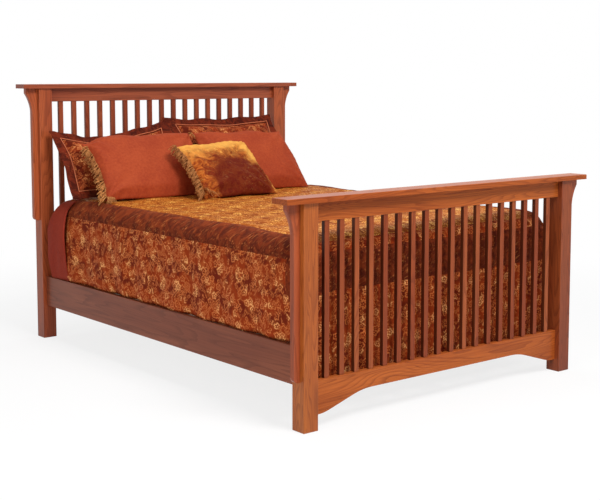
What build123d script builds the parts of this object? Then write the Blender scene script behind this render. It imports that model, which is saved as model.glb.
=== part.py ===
from build123d import *
import math
import os

# Mission bed with head and foot panels of slats, hooked side rails and its bedding.
# Units are millimetres. X runs across the bed, to the right seen from the foot, Y runs
# from the foot to the head and Z up. The origin is on the floor under the bed's middle.

# Overall places
mattress_width = 1524.0
mattress_length = 2032.0
mattress_side_space = 2.6
mattress_end_space = 36.5
post_section = 73.0
head_post_height = 1320.0
foot_post_height = 903.0

# Fits and clearances
joint_clearance = 0.3
soft_clearance = 0.4
overrun = 1.0
edge_softening = 2.0
foot_bevel = 1.5

# Caps and their overhangs
cap_thickness = 22.0
cap_end_overhang = 91.0
cap_face_overhang = 12.5
cap_edge_round = 3.0

# Panel rails
panel_rail_thickness = 25.0
foot_top_rail_height = 77.0
foot_bottom_rail_height = 140.0
foot_bottom_rail_rise = 56.0
head_top_rail_height = 70.0
head_bottom_rail_height = 130.0
head_bottom_rail_rise = 372.0
rail_tenon_thickness = 12.0
rail_tenon_length = 40.0
rail_tenon_shoulder = 12.0

# Arch under the foot panel
arch_flat = 17.0
arch_run = 290.0
arch_rise = 65.0
arch_first_bend = 60.0
arch_last_bend = 100.0

# Panel slats
panel_slat_count = 18
panel_slat_width = 25.0
panel_slat_thickness = 19.0
slat_tenon_width = 19.0
slat_tenon_thickness = 11.0
slat_tenon_length = 12.0

# Corbels on the outer faces of the posts
corbel_thickness = 25.0
corbel_stand = 29.5
corbel_top_stand = 63.0
corbel_top_edge = 26.0
corbel_flare = 94.0
corbel_length_foot = 703.0
corbel_length_head = 692.0
corbel_end_round = 20.0
dowel_radius = 5.0
corbel_dowel_length = 36.0
corbel_dowel_inset = 150.0
cap_dowel_radius = 6.0
cap_dowel_length = 40.0
cap_dowel_cap_depth = 14.0
cap_dowel_offset = 14.0
dowel_end_space = 2.0

# Side rails
side_rail_inset = 20.4
side_rail_thickness = 25.0
side_rail_height = 157.0
side_rail_rise = 174.0

# Cleats, bed slats and centre support
cleat_width = 22.0
cleat_height = 30.0
cleat_rise = 10.0
cleat_end_gap = 30.0
cleat_screw_count = 6
bed_slat_count = 5
bed_slat_width = 89.0
bed_slat_thickness = 19.0
bed_slat_end_gap = 2.0
bed_slat_first_inset = 180.0
beam_width = 38.0
beam_height = 64.0
beam_end_gap = 60.0
leg_count = 3
leg_section = 45.0
leg_end_inset = 300.0
leg_tenon_section = 20.0
leg_tenon_length = 25.0
leveller_pad_radius = 16.0
leveller_pad_height = 7.0
leveller_hub_radius = 7.0
leveller_hub_height = 3.0
leveller_travel = 12.0
leveller_spare = 2.0
leveller_stem_radius = 4.0
leveller_stem_length = 40.0
leveller_running_clearance = 0.08
leveller_bore_spare = 4.0

# Hook fasteners of the side rails
hook_plate_width = 15.0
hook_plate_height = 125.0
hook_plate_thickness = 3.0
slot_plate_width = 20.0
slot_plate_height = 135.0
slot_plate_thickness = 3.0
hook_thickness = 3.0
hook_tongue_height = 16.0
hook_nose_depth = 7.0
hook_nose_drop = 8.0
hook_spacing = 62.0
slot_width = 5.0
slot_height = 27.0
pocket_width = 9.0
pocket_space = 3.0
screw_radius = 2.0
screw_head_radius = 4.0
screw_head_height = 2.2
plate_screw_length = 22.0
plate_screw_inset = 9.0
cleat_screw_length = 36.0

# Bedding
box_spring_height = 200.0
mattress_height = 295.0
mattress_corner_round = 60.0
mattress_edge_round = 45.0
comforter_thickness = 24.5
comforter_shoulder_round = 100.0
comforter_corner_round = 80.0
comforter_head_inset = 141.0
comforter_side_folds = 9
comforter_foot_folds = 7
comforter_fold_depth = 5.0
comforter_foot_hem_rise = 10.0
sheet_thickness = 22.0
sheet_shoulder_round = 72.0

# Pillows: width, height and thickness of each, and how far each leans back
sham_width = 730.0
sham_height = 500.0
sham_thickness = 112.0
sham_flange = 52.0
sham_flange_thickness = 9.0
sham_left_middle = -430.0
sham_right_middle = 331.0
sham_lean_degrees = 38.0
rust_pillow_height = 425.0
rust_pillow_thickness = 116.0
rust_left_width = 700.0
rust_left_middle = -362.0
rust_right_width = 615.0
rust_right_middle = 310.0
rust_pillow_lean_degrees = 42.0
gold_pillow_width = 485.0
gold_pillow_height = 410.0
gold_pillow_thickness = 112.0
gold_pillow_middle = 0.0
gold_pillow_lean_degrees = 50.0
pillow_row_space = 5.0
gold_pillow_standoff = 14.0
pillow_side_pull = 16.0
crown_shares = (0.35, 0.55, 0.72, 0.85, 0.94, 0.985, 1.0)

# Places that follow from the sizes above
post_outer_width = mattress_width + 2 * (mattress_side_space + side_rail_thickness + side_rail_inset)
rail_length = mattress_length + 2 * mattress_end_space
half_width = post_outer_width / 2
half_rail = rail_length / 2
post_x = half_width - post_section / 2
post_y = half_rail + post_section / 2
panel_inner_x = half_width - post_section
panel_width = 2 * panel_inner_x
rail_outer_x = half_width - side_rail_inset
rail_inner_x = rail_outer_x - side_rail_thickness
rail_middle_x = (rail_outer_x + rail_inner_x) / 2
rail_top = side_rail_rise + side_rail_height
rail_middle_z = side_rail_rise + side_rail_height / 2
cleat_bottom = side_rail_rise + cleat_rise
slat_bed_z = cleat_bottom + cleat_height
box_spring_bottom = slat_bed_z + bed_slat_thickness
mattress_bottom = box_spring_bottom + box_spring_height
mattress_top = mattress_bottom + mattress_height
comforter_top = mattress_top + soft_clearance + comforter_thickness
leg_bottom = leveller_pad_height + leveller_hub_height + leveller_travel + leveller_spare
beam_bottom = slat_bed_z - beam_height


def box_between(low, high):
    """A box from its lowest to its highest corner."""
    size = [high[i] - low[i] for i in range(3)]
    middle = [(high[i] + low[i]) / 2 for i in range(3)]
    return Pos(*middle) * Box(*size)


def block(middle, size):
    """A box about its middle."""
    return Pos(*middle) * Box(*size)


def rod(start, direction, radius, length):
    """A round rod from its start along a direction."""
    return Plane(origin=start, z_dir=direction) * Pos(0, 0, length / 2) * Cylinder(radius, length)


def outline_face(edges, plane):
    """A flat face inside a closed run of edges drawn on a plane."""
    return plane * make_face(edges)


def screw(head_middle, direction, length, grow):
    """A countersunk wood screw from its head's face along a direction, or its void."""
    head = Cone(screw_head_radius + grow, screw_radius + grow, screw_head_height)
    head = Pos(0, 0, screw_head_height / 2) * head
    shank = Pos(0, 0, (length + grow) / 2) * Cylinder(screw_radius + grow, length + grow)
    return Plane(origin=head_middle, z_dir=direction) * (head + shank)


def slat_places():
    """The middle of each panel slat across the bed, from left to right."""
    gap = (panel_width - panel_slat_count * panel_slat_width) / (panel_slat_count + 1)
    first = -panel_inner_x + gap + panel_slat_width / 2
    return [first + i * (gap + panel_slat_width) for i in range(panel_slat_count)]


# Panel rails with their tenons and the mortises for the slats
def panel_rail(side_y, bottom, height, slats_above, slats_below):
    """A rail between two posts, with a tenon at each end and mortises along it."""
    rail = block((0, side_y, bottom + height / 2), (panel_width, panel_rail_thickness, height))
    tenon_height = height - 2 * rail_tenon_shoulder
    tenon_span = panel_width + 2 * rail_tenon_length
    rail += block((0, side_y, bottom + height / 2), (tenon_span, rail_tenon_thickness, tenon_height))
    depth = slat_tenon_length + joint_clearance
    width = slat_tenon_width + 2 * joint_clearance
    thickness = slat_tenon_thickness + 2 * joint_clearance
    for x in slat_places():
        if slats_above:
            rail -= block((x, side_y, bottom + height - depth / 2), (width, thickness, depth))
        if slats_below:
            rail -= block((x, side_y, bottom + depth / 2), (width, thickness, depth))
    return rail


def arch_void():
    """The arch cut from the foot panel's bottom rail: a level crown with an ogee at each end."""
    start = panel_inner_x - arch_flat
    end = start - arch_run
    low = foot_bottom_rail_rise
    high = low + arch_rise
    half_slope = arch_rise / (2 * arch_run - arch_first_bend - arch_last_bend)
    first_rise = arch_first_bend * half_slope
    last_rise = arch_last_bend * half_slope
    quarter_share = 0.25
    edges = []
    for side in (1, -1):
        corner = (side * start, low)
        first_end = (side * (start - arch_first_bend), low + first_rise)
        first_middle = (side * (start - arch_first_bend / 2), low + first_rise * quarter_share)
        last_start = (side * (end + arch_last_bend), high - last_rise)
        last_middle = (side * (end + arch_last_bend / 2), high - last_rise * quarter_share)
        crown = (side * end, high)
        edges.append(ThreePointArc(corner, first_middle, first_end))
        edges.append(Line(first_end, last_start))
        edges.append(ThreePointArc(last_start, last_middle, crown))
        edges.append(Line(corner, (side * start, low - overrun)))
    edges.append(Line((end, high), (-end, high)))
    edges.append(Line((start, low - overrun), (-start, low - overrun)))
    plane = Plane(origin=(0, -post_y, 0), x_dir=(1, 0, 0), z_dir=(0, -1, 0))
    face = outline_face(edges, plane)
    return extrude(face, amount=panel_rail_thickness, both=True)


def panel_slat(x, side_y, bottom, top):
    """One upright slat with a tenon at each end."""
    middle = (x, side_y, (bottom + top) / 2)
    slat = block(middle, (panel_slat_width, panel_slat_thickness, top - bottom))
    tenon_span = top - bottom + 2 * slat_tenon_length
    return slat + block(middle, (slat_tenon_width, slat_tenon_thickness, tenon_span))


# Corbels
def corbel(side, end, post_height, length):
    """A corbel on a post's outer face: flared under the cap, straight below, round at its foot."""
    low = post_height - length
    flare_top = post_height - corbel_top_edge
    flare_bottom = flare_top - corbel_flare
    bow = corbel_top_stand - corbel_stand
    middle_share = 0.29
    curve_point = (corbel_stand + bow * middle_share, (flare_top + flare_bottom) / 2)
    round_start = (corbel_stand, low + corbel_end_round)
    round_end = (corbel_stand - corbel_end_round, low)
    reach = corbel_end_round * (1 - math.cos(math.pi / 4))
    round_point = (corbel_stand - reach, low + reach)
    edges = [
        Line((0, low), (0, post_height)),
        Line((0, post_height), (corbel_top_stand, post_height)),
        Line((corbel_top_stand, post_height), (corbel_top_stand, flare_top)),
        ThreePointArc((corbel_top_stand, flare_top), curve_point, (corbel_stand, flare_bottom)),
        Line((corbel_stand, flare_bottom), round_start),
        ThreePointArc(round_start, round_point, round_end),
        Line(round_end, (0, low)),
    ]
    front = end * post_y + side * corbel_thickness / 2
    plane = Plane(origin=(side * half_width, front, 0), x_dir=(side, 0, 0), z_dir=(0, -side, 0))
    solid = extrude(outline_face(edges, plane), amount=corbel_thickness)
    for z in corbel_dowel_heights(post_height, length):
        solid -= corbel_dowel(side, end, z, joint_clearance / 2)
    return solid


def corbel_dowel_heights(post_height, length):
    """The heights of the two dowels that hold a corbel."""
    return (post_height - corbel_dowel_inset, post_height - length + corbel_dowel_inset)


def corbel_dowel(side, end, z, grow):
    """A dowel that joins a corbel to its post, or the hole for it."""
    half = corbel_dowel_length / 2
    space = dowel_end_space / 2 if grow else 0
    start = (side * (half_width - half - space), end * post_y, z)
    return rod(start, (side, 0, 0), dowel_radius + grow, corbel_dowel_length + 2 * space)


def cap_dowel(side, end, post_height, grow):
    """A dowel that joins a cap to the top of a post, or the hole for it."""
    space = dowel_end_space / 2 if grow else 0
    bottom = post_height + cap_dowel_cap_depth - cap_dowel_length - space
    start = (side * (post_x + cap_dowel_offset), end * post_y, bottom)
    return rod(start, (0, 0, 1), cap_dowel_radius + grow, cap_dowel_length + 2 * space)


def cap(end, post_height):
    """The flat cap over a panel and its two posts."""
    low = (-half_width - cap_end_overhang, end * post_y - post_section / 2 - cap_face_overhang)
    high = (half_width + cap_end_overhang, end * post_y + post_section / 2 + cap_face_overhang)
    board = box_between((*low, post_height), (*high, post_height + cap_thickness))
    board = fillet(board.edges().filter_by(Axis.Z) + board.edges().group_by(Axis.Z)[-1], cap_edge_round)
    for side in (1, -1):
        board -= cap_dowel(side, end, post_height, joint_clearance / 2)
    return board


# Hook fasteners
def hook_heights():
    """The height of each hook's tongue."""
    return (rail_middle_z - hook_spacing / 2, rail_middle_z + hook_spacing / 2)


def hook_plate(side, end):
    """The plate let into a side rail's end, with two hooks that reach into the post."""
    face = end * half_rail
    inner = face - end * hook_plate_thickness
    x = side * rail_middle_x
    size = (hook_plate_width, hook_plate_thickness, hook_plate_height)
    plate = block((x, (face + inner) / 2, rail_middle_z), size)
    reach = slot_plate_thickness + joint_clearance + hook_nose_depth
    nose_start = face + end * (slot_plate_thickness + joint_clearance)
    for z in hook_heights():
        tongue = (hook_thickness, reach, hook_tongue_height)
        plate += block((x, face + end * reach / 2, z), tongue)
        nose_middle = (x, nose_start + end * hook_nose_depth / 2, z - hook_nose_drop / 2)
        nose = (hook_thickness, hook_nose_depth, hook_tongue_height + hook_nose_drop)
        plate += block(nose_middle, nose)
    return plate


def slot_plate(side, end):
    """The plate let into a post's face, with a slot for each hook."""
    face = end * half_rail
    x = side * rail_middle_x
    size = (slot_plate_width, slot_plate_thickness, slot_plate_height)
    plate = block((x, face + end * slot_plate_thickness / 2, rail_middle_z), size)
    for z in hook_heights():
        bottom = z - hook_tongue_height / 2 - joint_clearance
        middle = (x, face + end * slot_plate_thickness / 2, bottom + slot_height / 2)
        plate -= block(middle, (slot_width, slot_plate_thickness + 2 * overrun, slot_height))
    return plate


def hook_pockets(side, end):
    """The recess in a post for its slot plate and the pockets behind the slots."""
    face = end * half_rail
    x = side * rail_middle_x
    recess_depth = slot_plate_thickness + overrun
    recess = (slot_plate_width + 2 * joint_clearance, recess_depth, slot_plate_height + 2 * joint_clearance)
    recess_y = face + end * (slot_plate_thickness - recess_depth / 2)
    void = block((x, recess_y, rail_middle_z), recess)
    depth = hook_nose_depth + pocket_space
    for z in hook_heights():
        bottom = z - hook_tongue_height / 2 - hook_nose_drop - pocket_space
        top = z - hook_tongue_height / 2 + slot_height
        middle = (x, face + end * (slot_plate_thickness + depth / 2), (bottom + top) / 2)
        void += block(middle, (pocket_width, depth, top - bottom))
    return void


def plate_screw_places(side, end):
    """Where the screws of both plates start, and the way each runs."""
    face = end * half_rail
    x = side * rail_middle_x
    places = []
    for up in (1, -1):
        hook_z = rail_middle_z + up * (hook_plate_height / 2 - plate_screw_inset)
        slot_z = rail_middle_z + up * (slot_plate_height / 2 - plate_screw_inset / 2)
        places.append(((x, face, hook_z), (0, -end, 0)))
        places.append(((x, face, slot_z), (0, end, 0)))
    return places


def cut_screws(solid, places, length):
    """Cut the void of each screw from a solid."""
    for start, direction in places:
        solid -= screw(start, direction, length, joint_clearance / 2)
    return solid


# Posts
def post(side, end, height, rails):
    """A post with its mortises, hook pockets and dowel holes."""
    solid = block((side * post_x, end * post_y, height / 2), (post_section, post_section, height))
    upright = solid.edges().filter_by(Axis.Z)
    solid = fillet(upright, edge_softening)
    solid = chamfer(solid.edges().group_by(Axis.Z)[0], foot_bevel)
    mortise_depth = rail_tenon_length + joint_clearance
    for bottom, rail_height in rails:
        mortise_height = rail_height - 2 * rail_tenon_shoulder + 2 * joint_clearance
        middle_x = side * (panel_inner_x + mortise_depth / 2 - overrun / 2)
        size = (mortise_depth + overrun, rail_tenon_thickness + 2 * joint_clearance, mortise_height)
        solid -= block((middle_x, end * post_y, bottom + rail_height / 2), size)
    solid -= hook_pockets(side, end)
    solid = cut_screws(solid, [place for place in plate_screw_places(side, end) if place[1][1] == end],
                       plate_screw_length)
    length = corbel_length_foot if end < 0 else corbel_length_head
    for z in corbel_dowel_heights(height, length):
        solid -= corbel_dowel(side, end, z, joint_clearance / 2)
    return solid - cap_dowel(side, end, height, joint_clearance / 2)


# Side rails and what they carry
def cleat_screw_places(side):
    """Where the cleat's screws start, and the way they run."""
    x = side * (rail_inner_x - cleat_width)
    z = cleat_bottom + cleat_height / 2
    span = rail_length - 2 * cleat_end_gap - 2 * bed_slat_first_inset
    step = span / (cleat_screw_count - 1)
    return [((x, -span / 2 + i * step, z), (side, 0, 0)) for i in range(cleat_screw_count)]


def side_rail(side):
    """A side rail with the recesses for its hook plates and screws."""
    middle = (side * rail_middle_x, 0, rail_middle_z)
    rail = block(middle, (side_rail_thickness, rail_length, side_rail_height))
    rail = fillet(rail.edges().filter_by(Axis.Y), edge_softening)
    for end in (1, -1):
        depth = hook_plate_thickness + overrun
        y = end * (half_rail - hook_plate_thickness + depth / 2)
        recess = (hook_plate_width + 2 * joint_clearance, depth, hook_plate_height + 2 * joint_clearance)
        rail -= block((side * rail_middle_x, y, rail_middle_z), recess)
        places = [place for place in plate_screw_places(side, end) if place[1][1] == -end]
        rail = cut_screws(rail, places, plate_screw_length)
    return cut_screws(rail, cleat_screw_places(side), cleat_screw_length)


def cleat(side):
    """The strip screwed inside a side rail that carries the bed slats."""
    middle = (side * (rail_inner_x - cleat_width / 2), 0, cleat_bottom + cleat_height / 2)
    strip = block(middle, (cleat_width, rail_length - 2 * cleat_end_gap, cleat_height))
    return cut_screws(strip, cleat_screw_places(side), cleat_screw_length)


def bed_slats():
    """The flat slats that lie across the cleats."""
    length = 2 * (rail_inner_x - bed_slat_end_gap)
    span = rail_length - 2 * bed_slat_first_inset
    step = span / (bed_slat_count - 1)
    z = slat_bed_z + bed_slat_thickness / 2
    size = (length, bed_slat_width, bed_slat_thickness)
    return [block((0, -span / 2 + i * step, z), size) for i in range(bed_slat_count)]


def leg_places():
    """Where the centre legs stand along the bed."""
    span = rail_length - 2 * leg_end_inset
    return [-span / 2 + i * span / (leg_count - 1) for i in range(leg_count)]


def center_beam():
    """The beam under the bed slats, with a mortise for each leg."""
    length = rail_length - 2 * beam_end_gap
    beam = block((0, 0, beam_bottom + beam_height / 2), (beam_width, length, beam_height))
    mortise = leg_tenon_section + 2 * joint_clearance
    depth = leg_tenon_length + joint_clearance
    for y in leg_places():
        beam -= block((0, y, beam_bottom + depth / 2), (mortise, mortise, depth))
    return beam


def center_leg(y):
    """A centre leg with its tenon and the threaded bore for its leveller."""
    leg = box_between((-leg_section / 2, y - leg_section / 2, leg_bottom),
                      (leg_section / 2, y + leg_section / 2, beam_bottom))
    leg += block((0, y, beam_bottom + leg_tenon_length / 2),
                 (leg_tenon_section, leg_tenon_section, leg_tenon_length))
    stem_top = leveller_pad_height + leveller_hub_height + leveller_stem_length
    bore = stem_top + leveller_travel + leveller_bore_spare - leg_bottom
    radius = leveller_stem_radius + leveller_running_clearance
    return leg - rod((0, y, leg_bottom), (0, 0, 1), radius, bore)


def leveller(y):
    """A levelling foot: a pad, its hub and the stem that screws into the leg."""
    foot = rod((0, y, 0), (0, 0, 1), leveller_pad_radius, leveller_pad_height)
    foot = chamfer(foot.edges().group_by(Axis.Z)[-1], edge_softening)
    foot += rod((0, y, leveller_pad_height), (0, 0, 1), leveller_hub_radius, leveller_hub_height)
    stem_start = (0, y, leveller_pad_height + leveller_hub_height)
    return foot + rod(stem_start, (0, 0, 1), leveller_stem_radius, leveller_stem_length)


# Bedding
def bed_block(bottom, top, grow, corner, edge):
    """A mattress-shaped block with round corners and soft top and bottom edges."""
    low = (-mattress_width / 2 - grow, -mattress_length / 2 - grow, bottom)
    high = (mattress_width / 2 + grow, mattress_length / 2 + grow, top)
    solid = box_between(low, high)
    solid = fillet(solid.edges().filter_by(Axis.Z), corner)
    return fillet(solid.edges().group_by(Axis.Z)[-1] + solid.edges().group_by(Axis.Z)[0], edge)


def folded_side(start, end, out, folds):
    """Arcs along one side of a hanging cloth: its main folds, in and out by turns."""
    edges = []
    for i in range(2 * folds):
        a = tuple(start[k] + (end[k] - start[k]) * i / (2 * folds) for k in range(2))
        b = tuple(start[k] + (end[k] - start[k]) * (i + 1) / (2 * folds) for k in range(2))
        sign = 1 if i % 2 == 0 else -1
        middle = tuple((a[k] + b[k]) / 2 + out[k] * sign * comforter_fold_depth / 2 for k in range(2))
        edges.append(ThreePointArc(a, middle, b))
    return edges


def corner_arc(center, radius, start, end):
    """A quarter round between two points about a centre."""
    middle = ((start[0] + end[0]) / 2 - center[0], (start[1] + end[1]) / 2 - center[1])
    size = math.hypot(*middle)
    point = (center[0] + middle[0] * radius / size, center[1] + middle[1] * radius / size)
    return ThreePointArc(start, point, end)


def comforter():
    """The quilted comforter: round shoulders, and sides and a foot that hang in folds."""
    reach_x = mattress_width / 2 + soft_clearance + comforter_thickness - comforter_fold_depth / 2
    reach_y = mattress_length / 2 + soft_clearance + comforter_thickness - comforter_fold_depth / 2
    head_y = mattress_length / 2 - comforter_head_inset
    r = comforter_corner_round
    edges = [
        *folded_side((-reach_x, head_y), (-reach_x, -reach_y + r), (-1, 0), comforter_side_folds),
        corner_arc((-reach_x + r, -reach_y + r), r, (-reach_x, -reach_y + r), (-reach_x + r, -reach_y)),
        *folded_side((-reach_x + r, -reach_y), (reach_x - r, -reach_y), (0, -1), comforter_foot_folds),
        corner_arc((reach_x - r, -reach_y + r), r, (reach_x - r, -reach_y), (reach_x, -reach_y + r)),
        *folded_side((reach_x, -reach_y + r), (reach_x, head_y), (1, 0), comforter_side_folds),
        Line((reach_x, head_y), (-reach_x, head_y)),
    ]
    hem = rail_top + soft_clearance
    foot_hem = box_spring_bottom + comforter_foot_hem_rise
    drape = extrude(outline_face(edges, Plane.XY.offset(foot_hem)), amount=comforter_top - foot_hem)
    past = mattress_length
    inside_rails = rail_inner_x - soft_clearance
    drape -= box_between((-past, -mattress_length / 2 + r, foot_hem - overrun), (past, past, hem))
    for side in (1, -1):
        drape -= block((side * (inside_rails + past / 2), 0, (foot_hem + hem - overrun) / 2),
                       (past, 2 * past, hem - foot_hem + overrun))
    outer_x = reach_x + comforter_fold_depth
    outer_y = reach_y + comforter_fold_depth
    across = rounded_profile(outer_x, foot_hem, comforter_top, comforter_shoulder_round, True)
    across_plane = Plane(origin=(0, -outer_y, 0), x_dir=(1, 0, 0), z_dir=(0, -1, 0))
    drape &= extrude(outline_face(across, across_plane), amount=-2 * outer_y)
    along = rounded_profile(outer_y, foot_hem, comforter_top, comforter_shoulder_round, False)
    along_plane = Plane(origin=(-outer_x, 0, 0), x_dir=(0, -1, 0), z_dir=(-1, 0, 0))
    drape &= extrude(outline_face(along, along_plane), amount=-2 * outer_x)
    return drape - bed_block(box_spring_bottom, mattress_top + soft_clearance, soft_clearance,
                             mattress_corner_round + soft_clearance, mattress_edge_round)


def rounded_profile(reach, bottom, top, radius, both_sides):
    """A drape's outline seen from one end, with a round shoulder on one side or both."""
    far = -reach
    edges = [
        Line((far, bottom), (reach, bottom)),
        Line((reach, bottom), (reach, top - radius)),
        corner_arc((reach - radius, top - radius), radius, (reach, top - radius), (reach - radius, top)),
    ]
    if both_sides:
        edges.append(Line((reach - radius, top), (far + radius, top)))
        edges.append(corner_arc((far + radius, top - radius), radius,
                                (far + radius, top), (far, top - radius)))
        edges.append(Line((far, top - radius), (far, bottom)))
    else:
        edges.append(Line((reach - radius, top), (far, top)))
        edges.append(Line((far, top), (far, bottom)))
    return edges


def sheet():
    """The plain sheet that shows round the head end of the mattress."""
    grow = soft_clearance + sheet_thickness
    low_y = mattress_length / 2 - comforter_head_inset + soft_clearance
    hem = rail_top + soft_clearance
    outer = bed_block(box_spring_bottom, mattress_top + grow, grow, mattress_corner_round + grow,
                      sheet_shoulder_round)
    reach = mattress_width / 2 + grow + overrun
    window = box_between((-reach, low_y, hem), (reach, mattress_length / 2 + grow + overrun,
                                                mattress_top + grow + overrun))
    inner = bed_block(box_spring_bottom, mattress_top + soft_clearance, soft_clearance,
                      mattress_corner_round + soft_clearance, mattress_edge_round)
    return (outer & window) - inner


def pillow_outline(width, height, pull, share):
    """A pillow's closed outline: four corners joined by sides that draw in between them."""
    x = width / 2 * share
    y = height / 2 * share
    p = pull * share
    return [
        ThreePointArc((-x, -y), (0, -y + p), (x, -y)),
        ThreePointArc((x, -y), (x - p, 0), (x, y)),
        ThreePointArc((x, y), (0, y - p), (-x, y)),
        ThreePointArc((-x, y), (-x + p, 0), (-x, -y)),
    ]


def crown_depth(size_share):
    """How deep a pillow is, as a share of its half thickness, where its outline has shrunk."""
    fullness_share = 0.6
    return (1 - size_share ** 3) ** fullness_share


def pillow_pad(width, height, thickness, pull):
    """A crowned pillow about its middle, thickest at its centre and thin at its seam."""
    levels = [(-crown_depth(share), share) for share in crown_shares]
    levels += [(crown_depth(share), share) for share in reversed(crown_shares[:-1])]
    faces = []
    for depth_share, size_share in levels:
        plane = Plane.XY.offset(thickness / 2 * depth_share)
        faces.append(outline_face(pillow_outline(width, height, pull, size_share), plane))
    return loft(faces, ruled=True)


def pillow_dip(height, thickness, lean):
    """How far a leaning pillow's belly reaches below its lower edge."""
    tilt = math.radians(lean)
    dips = [thickness / 2 * crown_depth(share) * math.sin(tilt) - height / 2 * (1 - share) * math.cos(tilt)
            for share in crown_shares]
    return max(dips)


def leaning(solid, middle_x, foot_y, height, lean, dip):
    """Stand a pillow on the comforter at its lower edge and lean it back by an angle."""
    tilt = math.radians(lean)
    rest = comforter_top + soft_clearance + dip
    up = (0, math.sin(tilt), math.cos(tilt))
    facing = (0, -math.cos(tilt), math.sin(tilt))
    origin = (middle_x, foot_y + up[1] * height / 2, rest + up[2] * height / 2)
    return Plane(origin=origin, x_dir=(1, 0, 0), z_dir=facing) * solid


def sham(middle_x):
    """A pillow sham: a crowned pad inside a flat flange."""
    inset = 2 * sham_flange
    pad = pillow_pad(sham_width - inset, sham_height - inset, sham_thickness, pillow_side_pull)
    flange_outline = pillow_outline(sham_width, sham_height, pillow_side_pull, 1)
    flange = extrude(outline_face(flange_outline, Plane.XY), amount=sham_flange_thickness / 2, both=True)
    dip = sham_flange_thickness / 2 * math.sin(lean_angle)
    return leaning(pad + flange, middle_x, sham_foot_y, sham_height, sham_lean_degrees, dip)


def pillow(width, height, thickness, middle_x, foot_y, lean):
    """A plain pillow that leans back."""
    pad = pillow_pad(width, height, thickness, pillow_side_pull)
    return leaning(pad, middle_x, foot_y, height, lean, pillow_dip(height, thickness, lean))


def next_foot_y(back_foot_y, back_lean, gap, height, lean):
    """Where a row of pillows stands so that its middle clears the row behind it by a gap."""
    back = math.radians(back_lean)
    tilt = math.radians(lean)
    swing = height / 2 * (math.sin(tilt) - math.cos(tilt) * math.tan(back))
    return back_foot_y - gap / math.cos(back) - swing


# Where each row of pillows stands, worked out from the row behind it
lean_angle = math.radians(sham_lean_degrees)
sham_reach = sham_height * math.sin(lean_angle) + sham_flange_thickness / 2 * math.cos(lean_angle)
sham_foot_y = half_rail - sham_reach - soft_clearance
row_gap = (sham_thickness + rust_pillow_thickness) / 2 + pillow_row_space
rust_foot_y = next_foot_y(sham_foot_y, sham_lean_degrees, row_gap, rust_pillow_height,
                          rust_pillow_lean_degrees)
front_gap = (rust_pillow_thickness + gold_pillow_thickness) / 2 + gold_pillow_standoff
gold_foot_y = next_foot_y(rust_foot_y, rust_pillow_lean_degrees, front_gap, gold_pillow_height,
                          gold_pillow_lean_degrees)

nodes = {}
foot_rails = ((foot_post_height - foot_top_rail_height, foot_top_rail_height),
              (foot_bottom_rail_rise, foot_bottom_rail_height))
head_rails = ((head_post_height - head_top_rail_height, head_top_rail_height),
              (head_bottom_rail_rise, head_bottom_rail_height))
sides = {"left": -1, "right": 1}

for name, side in sides.items():
    nodes[f"head_post_{name}"] = post(side, 1, head_post_height, head_rails)
    nodes[f"foot_post_{name}"] = post(side, -1, foot_post_height, foot_rails)
    nodes[f"head_corbel_{name}"] = corbel(side, 1, head_post_height, corbel_length_head)
    nodes[f"foot_corbel_{name}"] = corbel(side, -1, foot_post_height, corbel_length_foot)
    nodes[f"side_rail_{name}"] = side_rail(side)
    nodes[f"cleat_{name}"] = cleat(side)

nodes["head_cap"] = cap(1, head_post_height)
nodes["foot_cap"] = cap(-1, foot_post_height)
nodes["head_top_rail"] = panel_rail(post_y, *head_rails[0], False, True)
nodes["head_bottom_rail"] = panel_rail(post_y, *head_rails[1], True, False)
nodes["foot_top_rail"] = panel_rail(-post_y, *foot_rails[0], False, True)
nodes["foot_bottom_rail"] = panel_rail(-post_y, *foot_rails[1], True, False) - arch_void()

foot_slat_bottom = foot_bottom_rail_rise + foot_bottom_rail_height
foot_slat_top = foot_post_height - foot_top_rail_height
head_slat_bottom = head_bottom_rail_rise + head_bottom_rail_height
head_slat_top = head_post_height - head_top_rail_height
for number, x in enumerate(slat_places(), 1):
    nodes[f"foot_slat_{number:02d}"] = panel_slat(x, -post_y, foot_slat_bottom, foot_slat_top)
nodes["head_slats"] = [panel_slat(x, post_y, head_slat_bottom, head_slat_top) for x in slat_places()]

ends = (1, -1)
corners = [(side, end) for side in sides.values() for end in ends]
nodes["rail_hook_plates"] = []
nodes["post_slot_plates"] = []
nodes["plate_screws"] = []
nodes["corbel_dowels"] = []
nodes["cap_dowels"] = []
for side, end in corners:
    places = plate_screw_places(side, end)
    rail_places = [place for place in places if place[1][1] == -end]
    post_places = [place for place in places if place[1][1] == end]
    nodes["rail_hook_plates"].append(cut_screws(hook_plate(side, end), rail_places, plate_screw_length))
    nodes["post_slot_plates"].append(cut_screws(slot_plate(side, end), post_places, plate_screw_length))
    nodes["plate_screws"] += [screw(start, way, plate_screw_length, 0) for start, way in places]
    height = head_post_height if end > 0 else foot_post_height
    length = corbel_length_head if end > 0 else corbel_length_foot
    nodes["corbel_dowels"] += [corbel_dowel(side, end, z, 0) for z in corbel_dowel_heights(height, length)]
    nodes["cap_dowels"].append(cap_dowel(side, end, height, 0))

nodes["cleat_screws"] = [screw(start, way, cleat_screw_length, 0)
                         for side in sides.values() for start, way in cleat_screw_places(side)]
nodes["bed_slats"] = bed_slats()
nodes["center_beam"] = center_beam()
nodes["center_legs"] = [center_leg(y) for y in leg_places()]
for number, y in enumerate(leg_places(), 1):
    nodes[f"leveller_{number}"] = leveller(y)

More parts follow.
